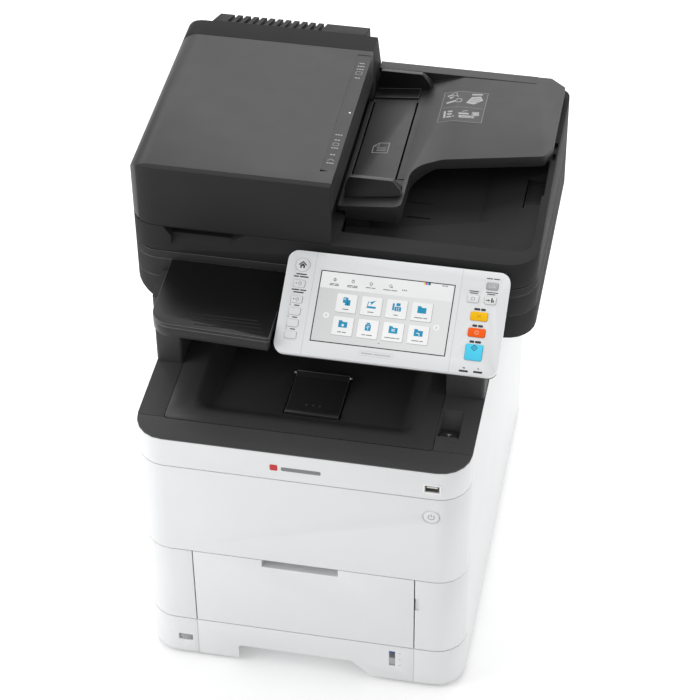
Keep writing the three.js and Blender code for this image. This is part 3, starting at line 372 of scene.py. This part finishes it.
def solid(name, body, face, polygons, material, low, high, bevel=0.0):
    """Closed piece: flat outlines in millimetres on a face, raised from low to high above it."""
    bm = bmesh.new()
    for polygon in polygons:
        bm.faces.new([bm.verts.new((u / 1000, v / 1000, low / 1000)) for u, v in polygon])
    bmesh.ops.remove_doubles(bm, verts=bm.verts, dist=1e-7)
    raised = bmesh.ops.extrude_face_region(bm, geom=bm.faces[:])
    top = [v for v in raised["geom"] if isinstance(v, bmesh.types.BMVert)]
    bmesh.ops.translate(bm, verts=top, vec=(0, 0, (high - low) / 1000))
    bmesh.ops.recalc_face_normals(bm, faces=bm.faces)
    mesh = bpy.data.meshes.new(name)
    bm.to_mesh(mesh)
    bm.free()
    return add(name, body, mesh, material, face, bevel)


def add(name, body, mesh, material, matrix=None, bevel=0.0):
    """Puts a mesh in the scene as a piece that rides on a body."""
    piece = bpy.data.objects.new(name, mesh)
    bpy.context.scene.collection.objects.link(piece)
    if matrix is not None:
        piece.matrix_world = matrix
    mesh.materials.append(material)
    if bevel:
        edge = piece.modifiers.new("edge", "BEVEL")
        edge.width = bevel / 1000
        edge.segments = 2
        edge.limit_method = "ANGLE"
        edge.angle_limit = math.radians(40)
        edge.use_clamp_overlap = True
        edge.harden_normals = True
        for polygon in mesh.polygons:
            polygon.use_smooth = True
    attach(piece, body)
    return piece


ROD_SIDES = 16
ROD_EASE = 0.0003


def rod(name, body, start, end, radius, material):
    """Round bar between two points, with its ends eased."""
    direction = end - start
    length, narrow = direction.length, radius - ROD_EASE
    bm = bmesh.new()
    loops = [(0.0, narrow), (ROD_EASE, radius), (length - ROD_EASE, radius), (length, narrow)]
    rings = [[bm.verts.new((*point, height)) for point in disc(0, 0, r, ROD_SIDES)] for height, r in loops]
    for lower, upper in zip(rings, rings[1:]):
        for k in range(ROD_SIDES):
            after = (k + 1) % ROD_SIDES
            bm.faces.new((lower[k], lower[after], upper[after], upper[k]))
    bm.faces.new(list(reversed(rings[0])))
    bm.faces.new(rings[-1])
    mesh = bpy.data.meshes.new(name)
    bm.to_mesh(mesh)
    bm.free()
    for polygon in mesh.polygons:
        polygon.use_smooth = len(polygon.vertices) == 4
    turn = direction.to_track_quat("Z", "Y").to_matrix().to_4x4()
    return add(name, body, mesh, material, Matrix.Translation(start) @ turn)


def ink(name, color, roughness=0.5):
    """Printed or moulded-in colour of a mark."""
    return plastic(name, color, roughness, grain=0.00002, variation=0.06)


# ---- touch panel ----
INK_DARK = ink("ink_dark", (0.03, 0.03, 0.032))
INK_GREY = ink("ink_grey", (0.2, 0.205, 0.21))
INK_PALE = ink("ink_pale", (0.5, 0.51, 0.52))
INK_WHITE = ink("ink_white", (0.62, 0.63, 0.64))
ICON_BLUE = ink("icon_blue", (0.008, 0.31, 0.53), 0.25)
TILE_WHITE = ink("tile_white", (0.97, 0.975, 0.98), 0.22)
TILE_SHADE = ink("tile_shade", (0.5, 0.505, 0.51), 0.3)
BAR_WHITE = ink("bar_white", (0.92, 0.925, 0.93), 0.22)

# Places on the panel are millimetres across and up from its middle.
PAGE_W, PAGE_H = 151.4, 83.2
TILE_S = [-42.5, -13.9, 14.8, 43.4]
TILE_T = [6.1, -21.3]
SCREEN_FACE = -0.3
KEY_FACE = 0.8


def display_material():
    """Lit page of the touch screen: pale grey, a little lighter towards its right."""
    material = bpy.data.materials.new("display_page")
    n = Nodes(material)
    place = n.add("ShaderNodeTexCoord").outputs["Object"]
    split = n.add("ShaderNodeSeparateXYZ")
    n.link(place, split.inputs["Vector"])
    fade = n.add("ShaderNodeMapRange")
    fade.inputs["From Min"].default_value = -0.08
    fade.inputs["From Max"].default_value = 0.08
    n.link(split.outputs["X"], fade.inputs["Value"])
    tones = n.add("ShaderNodeValToRGB")
    tones.color_ramp.elements[0].color = (0.72, 0.725, 0.73, 1)
    tones.color_ramp.elements[1].color = (0.82, 0.825, 0.83, 1)
    n.link(fade.outputs["Result"], tones.inputs["Fac"])
    n.link(tones.outputs["Color"], n.shader.inputs["Base Color"])
    n.set(Roughness=0.2)
    return material


def on_screen(name, polygons, material, low, high):
    solid(name, "panel", PANEL, polygons, material, SCREEN_FACE + low, SCREEN_FACE + high)


def on_panel(name, polygons, material, low, high):
    solid(name, "panel", PANEL, polygons, material, low, high)


def key_mark(key, polygons, material):
    solid(f"{key}_mark", key, PANEL, polygons, material, KEY_FACE - 0.1, KEY_FACE + 0.04)


def folder(s, t):
    """Outline of a folder icon around a point."""
    outline = ((-5, -4.2), (5, -4.2), (5, 2.6), (-0.4, 2.6), (-1.4, 4.2), (-5, 4.2))
    return [(s + ds, t + dt) for ds, dt in outline]


on_screen("display_page", [rect(0, 0, PAGE_W, PAGE_H)], display_material(), -0.1, 0.04)
on_screen("display_bar", [rect(0, 31.8, PAGE_W, 19.6)], BAR_WHITE, -0.1, 0.07)
tile_places = [(s, t) for s in TILE_S for t in TILE_T]
shades = [rect(s + 0.3, t - 0.45, 24.0, 22.7, 1.4) for s, t in tile_places]
on_screen("tile_shades", shades, TILE_SHADE, -0.1, 0.07)
tiles = [rect(s, t, 23.2, 21.9, 1.2) for s, t in tile_places]
tiles += [disc(-63.0, -10.4, 3.6), disc(62.4, -10.2, 3.6)]
on_screen("tiles", tiles, TILE_WHITE, -0.1, 0.11)

# The icons' middles lie a little above the middles of their tiles.
col_1, col_2, col_3, col_4 = TILE_S
row_1, row_2 = (t + 2.6 for t in TILE_T)
icons = [
    rect(col_1 - 1.4, row_1 + 1.0, 5.8, 6.8, 1.2), rect(col_1 + 2.6, row_1 - 1.8, 3.6, 6.8, 1.0),
    rect(col_1 + 0.2, row_1 - 3.6, 3.6, 3.2, 0.8),
    rect(col_2, row_1 - 4.0, 10.4, 2.4, 0.5),
    [(col_2 - 1.2, row_1 - 1.9), (col_2 + 4.6, row_1 + 4.6), (col_2 - 3.2, row_1 + 1.6),
     (col_2 - 0.6, row_1 + 1.0)],
    [(col_2 - 5.0, row_1 - 2.3), (col_2 - 3.9, row_1 - 2.3), (col_2 - 3.4, row_1 + 2.4),
     (col_2 - 4.2, row_1 + 2.8)],
    rect(col_3 - 3.9, row_1 - 0.2, 2.2, 8.4, 0.6), rect(col_3 + 1.4, row_1 + 2.9, 4.6, 3.6, 0.3),
    rect(col_3 + 1.4, row_1 - 2.4, 7.4, 5.2, 0.6),
    folder(col_4, row_1), folder(col_1, row_2), folder(col_3, row_2), folder(col_4, row_2),
    rect(col_2, row_2 - 0.9, 6.6, 7.4, 0.8), rect(col_2, row_2 + 4.0, 4.0, 1.8, 0.2),
]
on_screen("app_icons", icons, ICON_BLUE, -0.1, 0.14)
cutouts = [
    disc(col_1, row_2 - 1.4, 1.5, 10), rect(col_3, row_2 - 1.2, 4.0, 1.0), rect(col_3, row_2 + 0.6, 4.0, 0.7),
    rect(col_4 - 0.6, row_2 - 0.6, 3.6, 0.8), rect(col_4 + 1.0, row_2 - 2.2, 0.9, 2.2),
    rect(col_2, row_2 - 0.9, 0.7, 4.4), disc(col_2 - 1.3, row_2 - 0.4, 0.55, 8),
    disc(col_2 + 1.3, row_2 + 0.5, 0.55, 8),
    rect(col_1 - 2.6, row_1 + 3.0, 3.0, 0.5), rect(col_1 - 2.6, row_1 + 1.6, 3.0, 0.5),
    rect(col_3 + 0.2, row_1 - 1.6, 1.0, 1.0), rect(col_3 + 2.4, row_1 - 1.6, 1.0, 1.0),
    rect(col_3 + 0.2, row_1 - 3.6, 1.0, 1.0), rect(col_3 + 2.4, row_1 - 3.6, 1.0, 1.0),
]
on_screen("app_icon_cutouts", cutouts, TILE_WHITE, 0.1, 0.16)

# Captions under the tiles (width and pattern for the upper and the lower row), then those of the top bar.
TILE_CAPTIONS = [
    (7, (4,), 10, (3, 3)), (7, (4,), 12, (3, 5)), (5, (3,), 17, (9, 3)), (15, (6, 3), 13, (6, 3)),
]
captions = []
for s, (upper_width, upper, lower_width, lower) in zip(TILE_S, TILE_CAPTIONS):
    captions += words(s, TILE_T[0] - 7.2, upper_width, 1.0, upper)
    captions += words(s, TILE_T[1] - 7.2, lower_width, 1.0, lower)
for s, width in ((-59.7, 10), (-38.9, 12), (-18.1, 11), (4.2, 16)):
    captions += words(s, 27.6, width, 0.9, (5, 4))
for s, width in ((-59.7, 11), (-38.9, 12)):
    captions += words(s, 26.0, width, 0.9, (4, 5))
captions += words(65.0, 40.0, 6.5, 1.0, (2, 2), 0.6)
captions += [disc(18.2 + 2.1 * k, 29.5, 0.75, 8) for k in range(3)]
on_screen("screen_captions", captions, INK_GREY, 0.0, 0.17)
symbols = []
for s in (-59.7, -38.9, -18.1, 4.2):
    symbols += ring(s, 32.6, 1.5, 0.55, 10)
symbols += [
    rect(-59.7, 32.6, 0.5, 4.6), rect(-38.9, 34.6, 2.6, 0.5), rect(-18.1, 30.2, 1.6, 0.5),
    rect(5.9, 31.2, 1.6, 1.0),
]
symbols += stroke([(-62.4, -9.0), (-63.6, -10.4), (-62.4, -11.8)], 0.5)
symbols += stroke([(61.8, -8.8), (63.0, -10.2), (61.8, -11.6)], 0.5)
symbols += stroke([(0.2, -36.9), (1.2, -36.2), (2.2, -36.9)], 0.45)
on_screen("screen_symbols", symbols, INK_GREY, 0.05, 0.18)
SUPPLY_COLORS = [
    ("cyan", 45.7, (0.0, 0.45, 0.8)), ("magenta", 43.75, (0.7, 0.02, 0.3)),
    ("yellow", 41.8, (0.95, 0.75, 0.02)), ("black", 47.65, (0.01, 0.01, 0.01)),
]
for name, s, color in SUPPLY_COLORS:
    supply_ink = ink(f"supply_{name}", color, 0.3)
    on_screen(f"supply_level_{name}", [rect(s, 40.3, 1.7, 2.6)], supply_ink, 0.05, 0.17)

# Seams, lamps and captions of the panel's frame.
on_panel("panel_seams", [rect(-84.3, 1.5, 0.35, 122.6), rect(83.0, 1.5, 0.35, 122.6)], INK_PALE, -0.1, 0.03)
solid("panel_lamps", "panel", PANEL, [rect(99.7, -56.9, 10, 2.2, 0.4), rect(115.7, -56.5, 10, 2.2, 0.4)],
      ink("lamp_smoke", (0.035, 0.035, 0.04), 0.2), -0.2, 0.15)
dark = []
for t, width, pattern in ((34.6, 12, (5,)), (31.6, 17, (3, 5)), (15.6, 17, (5, 4)), (12.6, 12, (5,))):
    dark += words(-98.6, t, width, 1.5, pattern, 0.9)
for t in (-3.0, -17.4, -31.6):
    dark += words(-98.0, t, 6.0, 1.2, (4,))
    dark += ring(-105.6, t + 0.2, 0.6, 0.3, 8)
RIGHT_CAPTIONS = [
    (117.8, 54.8, 15, 1.1, (5, 5)), (98.4, 37.8, 11, 1.1, (7,)), (98.4, 35.6, 9, 1.1, (6,)),
    (118.4, 38.4, 14, 1.0, (9,)), (117.8, 36.2, 9, 1.1, (6,)),
    (108, 17.0, 13, 2.8, (5, 4)), (108, -2.6, 12, 2.8, (4, 4)), (108, -21.6, 13, 2.8, (4, 5)),
]
for caption in RIGHT_CAPTIONS:
    dark += words(*caption)
dark += [rect(99.7, -53.2, 2.6, 1.2, 0.3), rect(115.7, -52.6, 0.9, 2.0, 0.2)]
on_panel("panel_captions", dark, INK_DARK, -0.1, 0.05)
nameplate = stroke(rect(0, -50.2, 39, 5.4, 1.0), 0.3, True) + words(0, -50.2, 34, 1.7, (6, 9))
on_panel("panel_nameplate", nameplate, INK_PALE, -0.1, 0.04)

roof = stroke([(-103.2, 45.4), (-98.9, 49.4), (-94.6, 45.4)], 1.3)
house = [
    (-101.6, 41.8), (-99.8, 41.8), (-99.8, 44.2), (-98.0, 44.2), (-98.0, 41.8), (-96.2, 41.8), (-96.2, 45.2),
    (-98.9, 47.6), (-101.6, 45.2),
]
key_mark("home_key", roof + [house], INK_DARK)
for key, t in (("status_key", 23), ("menu_key", 4)):
    diamond = stroke([(-98.6, t - 2), (-96.6, t), (-98.6, t + 2), (-100.6, t)], 0.45, True)
    key_mark(key, [disc(-102.8, t, 0.8, 10)] + diamond, INK_GREY)
key_mark("energy_key", stroke([(114.4, 47.6), (114.4, 44.2), (117.0, 44.2)], 0.7)
         + ring(118.8, 46.0, 1.7, 0.6, 12) + [rect(121.2, 44.6, 1.6, 1.0)], INK_WHITE)
key_mark("keypad_key", stroke(rect(98.4, 28.6, 3.4, 3.4, 0.5, 2), 0.4, True), INK_GREY)
key_mark("login_key", [
    rect(114.2, 28.6, 2.6, 1.0), [(115.6, 27.0), (117.6, 28.6), (115.6, 30.2)],
    rect(119.6, 28.6, 1.6, 4.2), rect(121.4, 28.0, 1.2, 2.8), disc(119.6, 31.2, 0.8, 8),
], INK_DARK)
key_mark("reset_key", stroke([(106.6, 7.2), (108.0, 8.7), (109.4, 10.2)], 0.6)
         + [disc(106.4, 9.8, 0.45, 8), disc(109.6, 7.6, 0.45, 8)],
         ink("mark_amber", (0.28, 0.14, 0.0)))
key_mark("stop_key", ring(108, -10.7, 2.0, 0.5, 16), ink("mark_stop", (0.8, 0.62, 0.5)))
key_mark("start_key", stroke([(108, -25.4), (111.4, -28.8), (108, -32.2), (104.6, -28.8)], 0.8, True)
         + stroke([(108, -27.4), (109.4, -28.8), (108, -30.2), (106.6, -28.8)], 0.45, True),
         ink("mark_start", (0.01, 0.1, 0.14)))

# ---- front of the body ----
def on_front(name, body, polygons, material, low, high, bevel=0.0):
    solid(name, body, FRONT, polygons, material, low, high, bevel)


PLATE_RED = ink("plate_red", (0.55, 0.008, 0.015), 0.35)
plate_square, plate_bar = rect(-28.3, 338.2, 9.0, 9.0, 1.6), rect(3.3, 337.4, 46, 5.6, 1.4)
on_front("maker_plate_square", "body", [plate_square], PLATE_RED, -0.2, 0.25)
on_front("maker_plate_bar", "body", [plate_bar], INK_GREY, -0.2, 0.2)

USB_X, USB_Z = 154.5, 335
USB_INSERT = ink("usb_insert", (0.62, 0.6, 0.55))
usb_lip = stroke(rect(USB_X, USB_Z, 19.4, 12.4, 1.2), 1.0, True)
usb_wall = stroke(rect(USB_X, USB_Z, 16.2, 9.2), 0.5, True)
on_front("usb_frame", "body", usb_lip, TILE_WHITE, -0.3, 0.35, 0.12)
on_front("usb_shell", "body", usb_wall, STEEL, -9.0, -0.6)
on_front("usb_back", "body", [rect(USB_X, USB_Z, 16.0, 9.0)], DARK, -9.6, -8.9)
usb_insert = rect(USB_X, USB_Z + 1.9, 12.6, 2.2)
on_front("usb_tongue", "body", [usb_insert], USB_INSERT, -8.9, -1.0, 0.15)

POWER_X, POWER_Z = 154, 290
power = ring(POWER_X, POWER_Z, 3.6, 0.75, 24, 120, 300) + [rect(POWER_X, POWER_Z + 2.6, 0.8, 4.4)]
on_front("power_symbol", "power_button", power, INK_GREY, -0.4, -0.14)
power_ring = ring(POWER_X, POWER_Z, 10.7, 0.35, 40)
on_front("power_ring", "front_cover", power_ring, INK_PALE, -0.2, 0.03)

# Cassette: level marks beside the gauge and teeth on the size dial.
gauge_ticks = [rect(118.6, 48.6, 2.8, 0.6), rect(118.6, 27.4, 2.8, 0.6), rect(118.6, 38.0, 1.8, 0.5)]
on_front("gauge_ticks", "cassette", gauge_ticks, INK_GREY, -0.2, 0.04)
DIAL_TEETH = 36
TOOTH_SHAPE = ((13.5, -0.55), (14.05, -0.35), (14.05, 0.35), (13.5, 0.55))
teeth = []
for k in range(DIAL_TEETH):
    out = Vector(on_circle(0, 0, 1, k / DIAL_TEETH))
    side = Vector((-out.y, out.x))
    teeth.append([tuple(out * reach + side * width) for reach, width in TOOTH_SHAPE])
solid("size_dial_teeth", "size_dial", plane("top", -148.25, 13.9), teeth, GREY, 23.0, 29.0)


# ---- marks that follow a curved or sloping surface ----
def surface(node_name, x, y):
    """Height in millimetres of a node's top face over a point, found by looking straight down."""
    node = NODES[node_name]
    inverse = node.matrix_world.inverted()
    start = inverse @ (mm(x, y, 0) + Vector((0, 0, 1)))
    hit, place, _, _ = node.ray_cast(start, inverse.to_3x3() @ Vector((0, 0, -1)))
    if not hit:
        raise RuntimeError(f"nothing of {node_name} under {x}, {y}")
    return ((node.matrix_world @ place) - ORIGIN).z * 1000


def drape(name, body, node_name, patches, material, slot_name, low, high, step=4.0, crown=0.0):
    """Closed thin pieces laid on a node; each patch is (x0, x1, y0, y1).

    A crown rounds them across their width.
    """
    bm = bmesh.new()
    for x0, x1, y0, y1 in patches:
        nx = max(1, math.ceil((x1 - x0) / step))
        ny = max(2 if crown else 1, math.ceil((y1 - y0) / step))
        layers = []
        for offset, arch in ((low, 0.0), (high, crown)):
            layer = []
            for i in range(nx + 1):
                row = []
                for j in range(ny + 1):
                    x, y = x0 + (x1 - x0) * i / nx, y0 + (y1 - y0) * j / ny
                    rise = arch * (1 - (2 * j / ny - 1) ** 2)
                    row.append(bm.verts.new(mm(x, y, surface(node_name, x, y) + offset + rise)))
                layer.append(row)
            layers.append(layer)
        under, over = layers
        for i in range(nx):
            for j in range(ny):
                bm.faces.new((over[i][j], over[i + 1][j], over[i + 1][j + 1], over[i][j + 1]))
                bm.faces.new((under[i][j + 1], under[i + 1][j + 1], under[i + 1][j], under[i][j]))
        for i in range(nx):
            bm.faces.new((under[i][0], under[i + 1][0], over[i + 1][0], over[i][0]))
            bm.faces.new((over[i][ny], over[i + 1][ny], under[i + 1][ny], under[i][ny]))
        for j in range(ny):
            bm.faces.new((over[0][j], over[0][j + 1], under[0][j + 1], under[0][j]))
            bm.faces.new((under[nx][j], under[nx][j + 1], over[nx][j + 1], over[nx][j]))
    mesh = bpy.data.meshes.new(name)
    bm.to_mesh(mesh)
    bm.free()
    return add(name, body, mesh, material)


def print_on(name, body, node_name, polygons, material, slot_name, low, high):
    """Thin closed prints with the outlines given in x, y, each corner set down on the node under it."""
    bm = bmesh.new()
    for polygon in polygons:
        under, over = (
            [bm.verts.new(mm(x, y, surface(node_name, x, y) + level)) for x, y in polygon]
            for level in (low, high)
        )
        bm.faces.new(over)
        bm.faces.new(list(reversed(under)))
        for k in range(len(polygon)):
            after = (k + 1) % len(polygon)
            bm.faces.new((under[k], under[after], over[after], over[k]))
    bmesh.ops.recalc_face_normals(bm, faces=bm.faces)
    mesh = bpy.data.meshes.new(name)
    bm.to_mesh(mesh)
    bm.free()
    return add(name, body, mesh, material)


def frame_patches(x0, x1, y0, y1, width):
    """Four patches along the sides of a rectangle."""
    return [(x0, x1, y0, y0 + width), (x0, x1, y1 - width, y1), (x0, x0 + width, y0 + width, y1 - width),
            (x1 - width, x1, y0 + width, y1 - width)]


# ---- shelf, deck and output tray ----
SHELF_RIBS = [(86.0, -145, -60), (80.3, -139, -56), (74.4, -134, -53), (68.0, -130, -50)]
for k, (y, x0, x1) in enumerate(SHELF_RIBS):
    drape(f"shelf_rib_{k + 1}", "body", "document_shelf", [(x0, x1, y - 0.8, y + 0.8)], SHELF_GLOSS_AND_SHADE,
          "charcoal", -0.2, 0.05, 6.0, 0.75)
stopper_dots = [(x - 0.7, x + 0.7, 104.6, 106.0) for x in (-11.4, -3.4, 4.6)]
DOT_GREY = ink("dot_grey", (0.26, 0.26, 0.264))
drape("stopper_dots", "paper_stopper", "paper_stopper", stopper_dots, DOT_GREY, "dark_tray", -0.1, 0.08, 3.0)
for side, x0, x1 in (("left", -36.6, -33.4), ("right", 30.2, 33.4)):
    rod(f"stopper_pin_{side}", "inner_tray", mm(x0, 158.5, 342.2), mm(x1, 158.5, 342.2), 0.0016, STEEL)
for name, y, z, radius in (("stopper_bar", 161.4, 342.9, 0.0014), ("stopper_lip", 89.6, 344.4, 0.0011)):
    rod(name, "paper_stopper", mm(-33.4, y, z), mm(29.4, y, z), radius, STOPPER_DARK)
lever_arrow = [(162.4, 163.6, 62.0, 68.0), (160.4, 165.6, 66.4, 67.4)]
drape("lever_arrow", "release_lever", "release_lever", lever_arrow, INK_PALE, "charcoal", -0.1, 0.06)

# ---- feeder ----
INK_SILVER = ink("ink_silver", (0.34, 0.34, 0.34))
# Marks along the cover's strip: place from front to back, and number of bars.
STRIP_MARKS = [
    (222.0, 3), (238.0, 2), (250.6, 3), (266.0, 2), (276.0, 3), (390.0, 2), (408.0, 3), (414.0, 3), (420.0, 2),
]
strip = []
for y, count in STRIP_MARKS:
    strip += words(-2.4, y, 1.6 + 2.2 * count, 1.5, (2,) * count, 0.6)
strip += stroke([(-6.4, 226.4), (-2.4, 229.6), (1.6, 226.4)], 0.5)
strip += stroke(rect(-2.4, 257.6, 6.4, 5.2, 0.8, 2), 0.45, True)
strip += stroke(rect(-2.4, 400, 7.0, 6.0, 0.8, 2), 0.45, True)
print_on("feeder_strip_marks", "adf_top_cover", "adf_top_cover", strip, INK_SILVER, "charcoal", -0.1, 0.05)
LAMP_CLEAR = ink("lamp_clear", (0.75, 0.8, 0.72), 0.15)
lamp = [disc(1.9, 320, 1.1, 12)]
print_on("feeder_lamp", "adf_top_cover", "adf_top_cover", lamp, LAMP_CLEAR, "charcoal", -0.1, 0.3)


def on_tray(make, name, shapes, material, low, high, *spacing):
    """Piece on the feeder's input tray, laid on it by drape or print_on."""
    make(name, "adf_input_tray", "adf_input_tray", shapes, material, "charcoal", low, high, *spacing)


def page(x, y, w, h, lean=0.0):
    """Slightly skewed sheet of a pictogram."""
    return [(x, y), (x + w, y + lean), (x + w - 1.2, y + h + lean), (x - 1.2, y + h)]


LABEL_FILM = plastic("label_film", (0.03, 0.03, 0.031), 0.42, grain=0.00003, specular=0.3)
on_tray(drape, "tray_label", [(92, 147, 392, 455)], LABEL_FILM, -0.1, 0.12, 3.0)
label_frame = frame_patches(93, 146, 393, 454, 0.5) + [(95, 144, 421.8, 422.3)]
on_tray(drape, "tray_label_frame", label_frame, INK_GREY, 0.0, 0.18, 3.0)
marks = [
    page(99, 401, 2.6, 14), page(103.4, 401, 5.6, 3), page(103.4, 406.4, 5.6, 3), page(103.4, 411.8, 5.6, 3),
    disc(110.6, 403.0, 1.2, 10),
    page(118, 400.6, 18, 4.6, 1.0), page(117, 407, 12, 3.4, 1.0),
    [(132, 404), (141, 407.4), (140.4, 414.4), (132, 414)],
]
marks += ring(135.8, 410.2, 3.4, 0.9, 14) + stroke([(120, 413.4), (126.6, 416.0)], 1.1)
marks += [page(99, 430, 10, 3, 3.0), page(101.4, 440, 10, 3, 3.0), page(98.4, 444.4, 6.4, 2.2, 3.0)]
marks += ring(112.6, 435.4, 3.8, 0.9, 16) + stroke([(110.0, 438.0), (115.2, 432.8)], 0.9)
marks += ring(106.0, 449.0, 3.0, 0.8, 14)
marks += [
    [(122, 431), (132, 429.4), (141.6, 439), (138, 446.6), (127.4, 444)],
    page(127.4, 447.4, 12.6, 2.6, 2.0),
]
on_tray(print_on, "tray_label_marks", marks, INK_SILVER, 0.0, 0.17)
folds = [
    (126, 137, 434.2, 434.9), (127, 138, 438.2, 438.9), (129, 139, 441.8, 442.4), (120, 133, 402.4, 403.0),
]
on_tray(drape, "tray_label_folds", folds, LABEL_FILM, 0.0, 0.22, 4.0)
sheet = stroke([(24.4, 336.6), (42.6, 336.6), (42.6, 356.0), (30.6, 356.0), (24.4, 349.6)], 0.8, True)
sheet += stroke([(30.6, 356.0), (30.6, 349.6), (24.4, 349.6)], 0.6)
sheet += [rect(34.6, 341.0 + 2.8 * k, 11.0, 0.7) for k in range(3)]
on_tray(print_on, "tray_page_mark", sheet, INK_SILVER, -0.05, 0.08)

# Guide ribs, seen with the feeder's cover open; they stop short of the rollers' opening.
ribs = [(-206, -12, y - 0.9, y + 0.9) for y in range(204, 432, 16) if not 246 < y < 374]
ribs += [(x0, x1, y - 0.9, y + 0.9) for y in range(252, 372, 16) for x0, x1 in ((-206, -78), (-46, -18))]
drape("feeder_guide_ribs", "lid", "adf_base", ribs, DARK, "charcoal", -0.3, 0.5, 8.0, 0.8)
solid("platen_pad", "lid", PAD_FOOT, [rect(5, 330, 387, 233, 5, 5)], PAD, 0, 3.95, 0.9)

# ---- scanner bed under the lid ----
for side, scale in (("rear", rect(5, 448.0, 372, 6.5, 0.8)), ("left", rect(-189.0, 330, 5.0, 218, 0.8))):
    solid(f"glass_scale_{side}", "body", BED, [scale], TILE_WHITE, -0.2, 0.35)
TICK_STEP = 10
ticks = []
for k in range(38):
    y, length = (446.2, 2.4) if k % 5 else (447.0, 4.0)
    ticks.append(rect(-178 + TICK_STEP * k, y, 0.5, length))
for k in range(20):
    x, length = (-187.6, 2.0) if k % 5 else (-188.4, 3.6)
    ticks.append(rect(x, 232 + TICK_STEP * k, length, 0.5))
solid("glass_scale_ticks", "body", BED, ticks, INK_DARK, 0.3, 0.42)
LAMP_TUBE = ink("lamp_tube", (0.85, 0.87, 0.86), 0.2)
solid("carriage_lamp", "scanner_carriage", CARRIAGE_TOP, [rect(-195.5, 330, 3.2, 226, 1.2)], LAMP_TUBE,
      -0.2, 1.2, 0.4)
# A flat dark strip stands for the mirror slit: painted shade of the opening.
solid("carriage_mirror_slot", "scanner_carriage", CARRIAGE_TOP, [rect(-188.6, 330, 3.0, 226, 0.6)], DARK,
      -0.2, 0.15)

# ---- rear; across runs the other way from x ----
REAR_SCREWS = [(x, z) for z in (30, 132, 345) for x in (-154.5, 154.5)] + [(-50, 345), (50, 345)]
screws, crosses = [], []
for x, z in REAR_SCREWS:
    screws.append(disc(-x, z, 3.2, 16))
    crosses += [rect(-x, z, 3.4, 0.8), rect(-x, z + 1.25, 0.8, 0.9), rect(-x, z - 1.25, 0.8, 0.9)]
solid("rear_screws", "body", REAR, screws, STEEL, -0.3, 0.7, 0.3)
solid("rear_screw_slots", "body", REAR, crosses, INK_DARK, 0.6, 0.74)
PLATE_SILVER = ink("plate_silver", (0.5, 0.51, 0.52), 0.35)
solid("rating_plate", "body", REAR, [rect(-10, 96, 70, 42, 1.5)], PLATE_SILVER, -0.2, 0.25)
plate_rows = []
for k, pattern in enumerate(((6, 3, 4), (4, 7), (5, 5, 2), (8, 3), (3, 4, 5))):
    plate_rows += words(-14, 109 - 6.2 * k, 52 - 5 * (k % 2), 1.3, pattern)
solid("rating_plate_rows", "body", REAR, plate_rows, INK_DARK, 0.2, 0.3)
PORT_Z = 104
solid("interface_plate", "body", REAR, [rect(-83, PORT_Z, 46, 24, 2)], STEEL, -0.2, 0.4, 0.15)
for name, cu, w, h in (("network", -72, 13.6, 11.4), ("computer", -94, 8.6, 7.8)):
    rim = stroke(rect(cu, PORT_Z, w, h, 0.8), 1.2, True)
    solid(f"{name}_port_rim", "body", REAR, rim, DARK, 0.2, 1.4, 0.2)
    floor_plate = rect(cu, PORT_Z, w - 1.0, h - 1.0, 0.4)
    solid(f"{name}_port_floor", "body", REAR, [floor_plate], RUBBER, 0.2, 0.55)
contacts = [rect(-76.2 + 1.2 * k, PORT_Z + 3.2, 0.5, 3.2) for k in range(8)]
CONTACT_GOLD = ink("contact_gold", (0.6, 0.38, 0.08), 0.25)
solid("network_port_contacts", "body", REAR, contacts, CONTACT_GOLD, 0.5, 0.75)
grip_mark = [rect(0, 308, 16, 0.9), [(-3.4, 304.6), (3.4, 304.6), (0, 301.4)]]
solid("door_grip_mark", "rear_cover", REAR, grip_mark, INK_GREY, -0.2, 0.05)

# ---- floor and light ----
HALF_FLOOR = 12
FLOOR_GLOW = 0.22
WORLD_STRENGTH = 0.62
LIGHT_AIM = Vector((0, 0, 0.3))
PURE_WHITE = (1, 1, 1, 1)

floor_mesh = bpy.data.meshes.new("floor")
corners = [(x * HALF_FLOOR, y * HALF_FLOOR, 0) for x, y in ((-1, -1), (1, -1), (1, 1), (-1, 1))]
floor_mesh.from_pydata(corners, [], [(0, 1, 2, 3)])
floor = bpy.data.objects.new("floor", floor_mesh)
bpy.context.scene.collection.objects.link(floor)
# The floor glows a little, so that it reads as white paper without a stronger light on the machine.
paper = plastic("floor_paper", (0.92, 0.92, 0.92), 0.9, variation=0.002, specular=0.1)
paper_shader = paper.node_tree.nodes["Principled BSDF"]
paper_shader.inputs["Emission Color"].default_value = PURE_WHITE
paper_shader.inputs["Emission Strength"].default_value = FLOOR_GLOW
floor_mesh.materials.append(paper)

world = bpy.data.worlds.new("world")
bpy.context.scene.world = world
world.use_nodes = True
background = world.node_tree.nodes["Background"]
background.inputs["Color"].default_value = PURE_WHITE
background.inputs["Strength"].default_value = WORLD_STRENGTH
bpy.context.scene.view_settings.view_transform = "Standard"


def softbox(name, azimuth, elevation, distance, width, height, power):
    """Area light that faces the machine from a direction given in degrees; azimuth 0 is the front."""
    data = bpy.data.lights.new(name, "AREA")
    data.shape = "RECTANGLE"
    data.size = width
    data.size_y = height
    data.energy = power
    light = bpy.data.objects.new(name, data)
    bpy.context.scene.collection.objects.link(light)
    a, e = math.radians(azimuth), math.radians(elevation)
    direction = Vector((math.sin(a) * math.cos(e), -math.cos(a) * math.cos(e), math.sin(e)))
    light.location = LIGHT_AIM + direction * distance
    light.rotation_euler = direction.to_track_quat("Z", "Y").to_euler()


softbox("back_light", 191, 45, 3.2, 3.4, 2.2, 78)
softbox("left_light", -62, 24, 1.6, 0.8, 1.6, 9.5)
softbox("right_light", 100, 30, 3.2, 2.6, 2.0, 16)
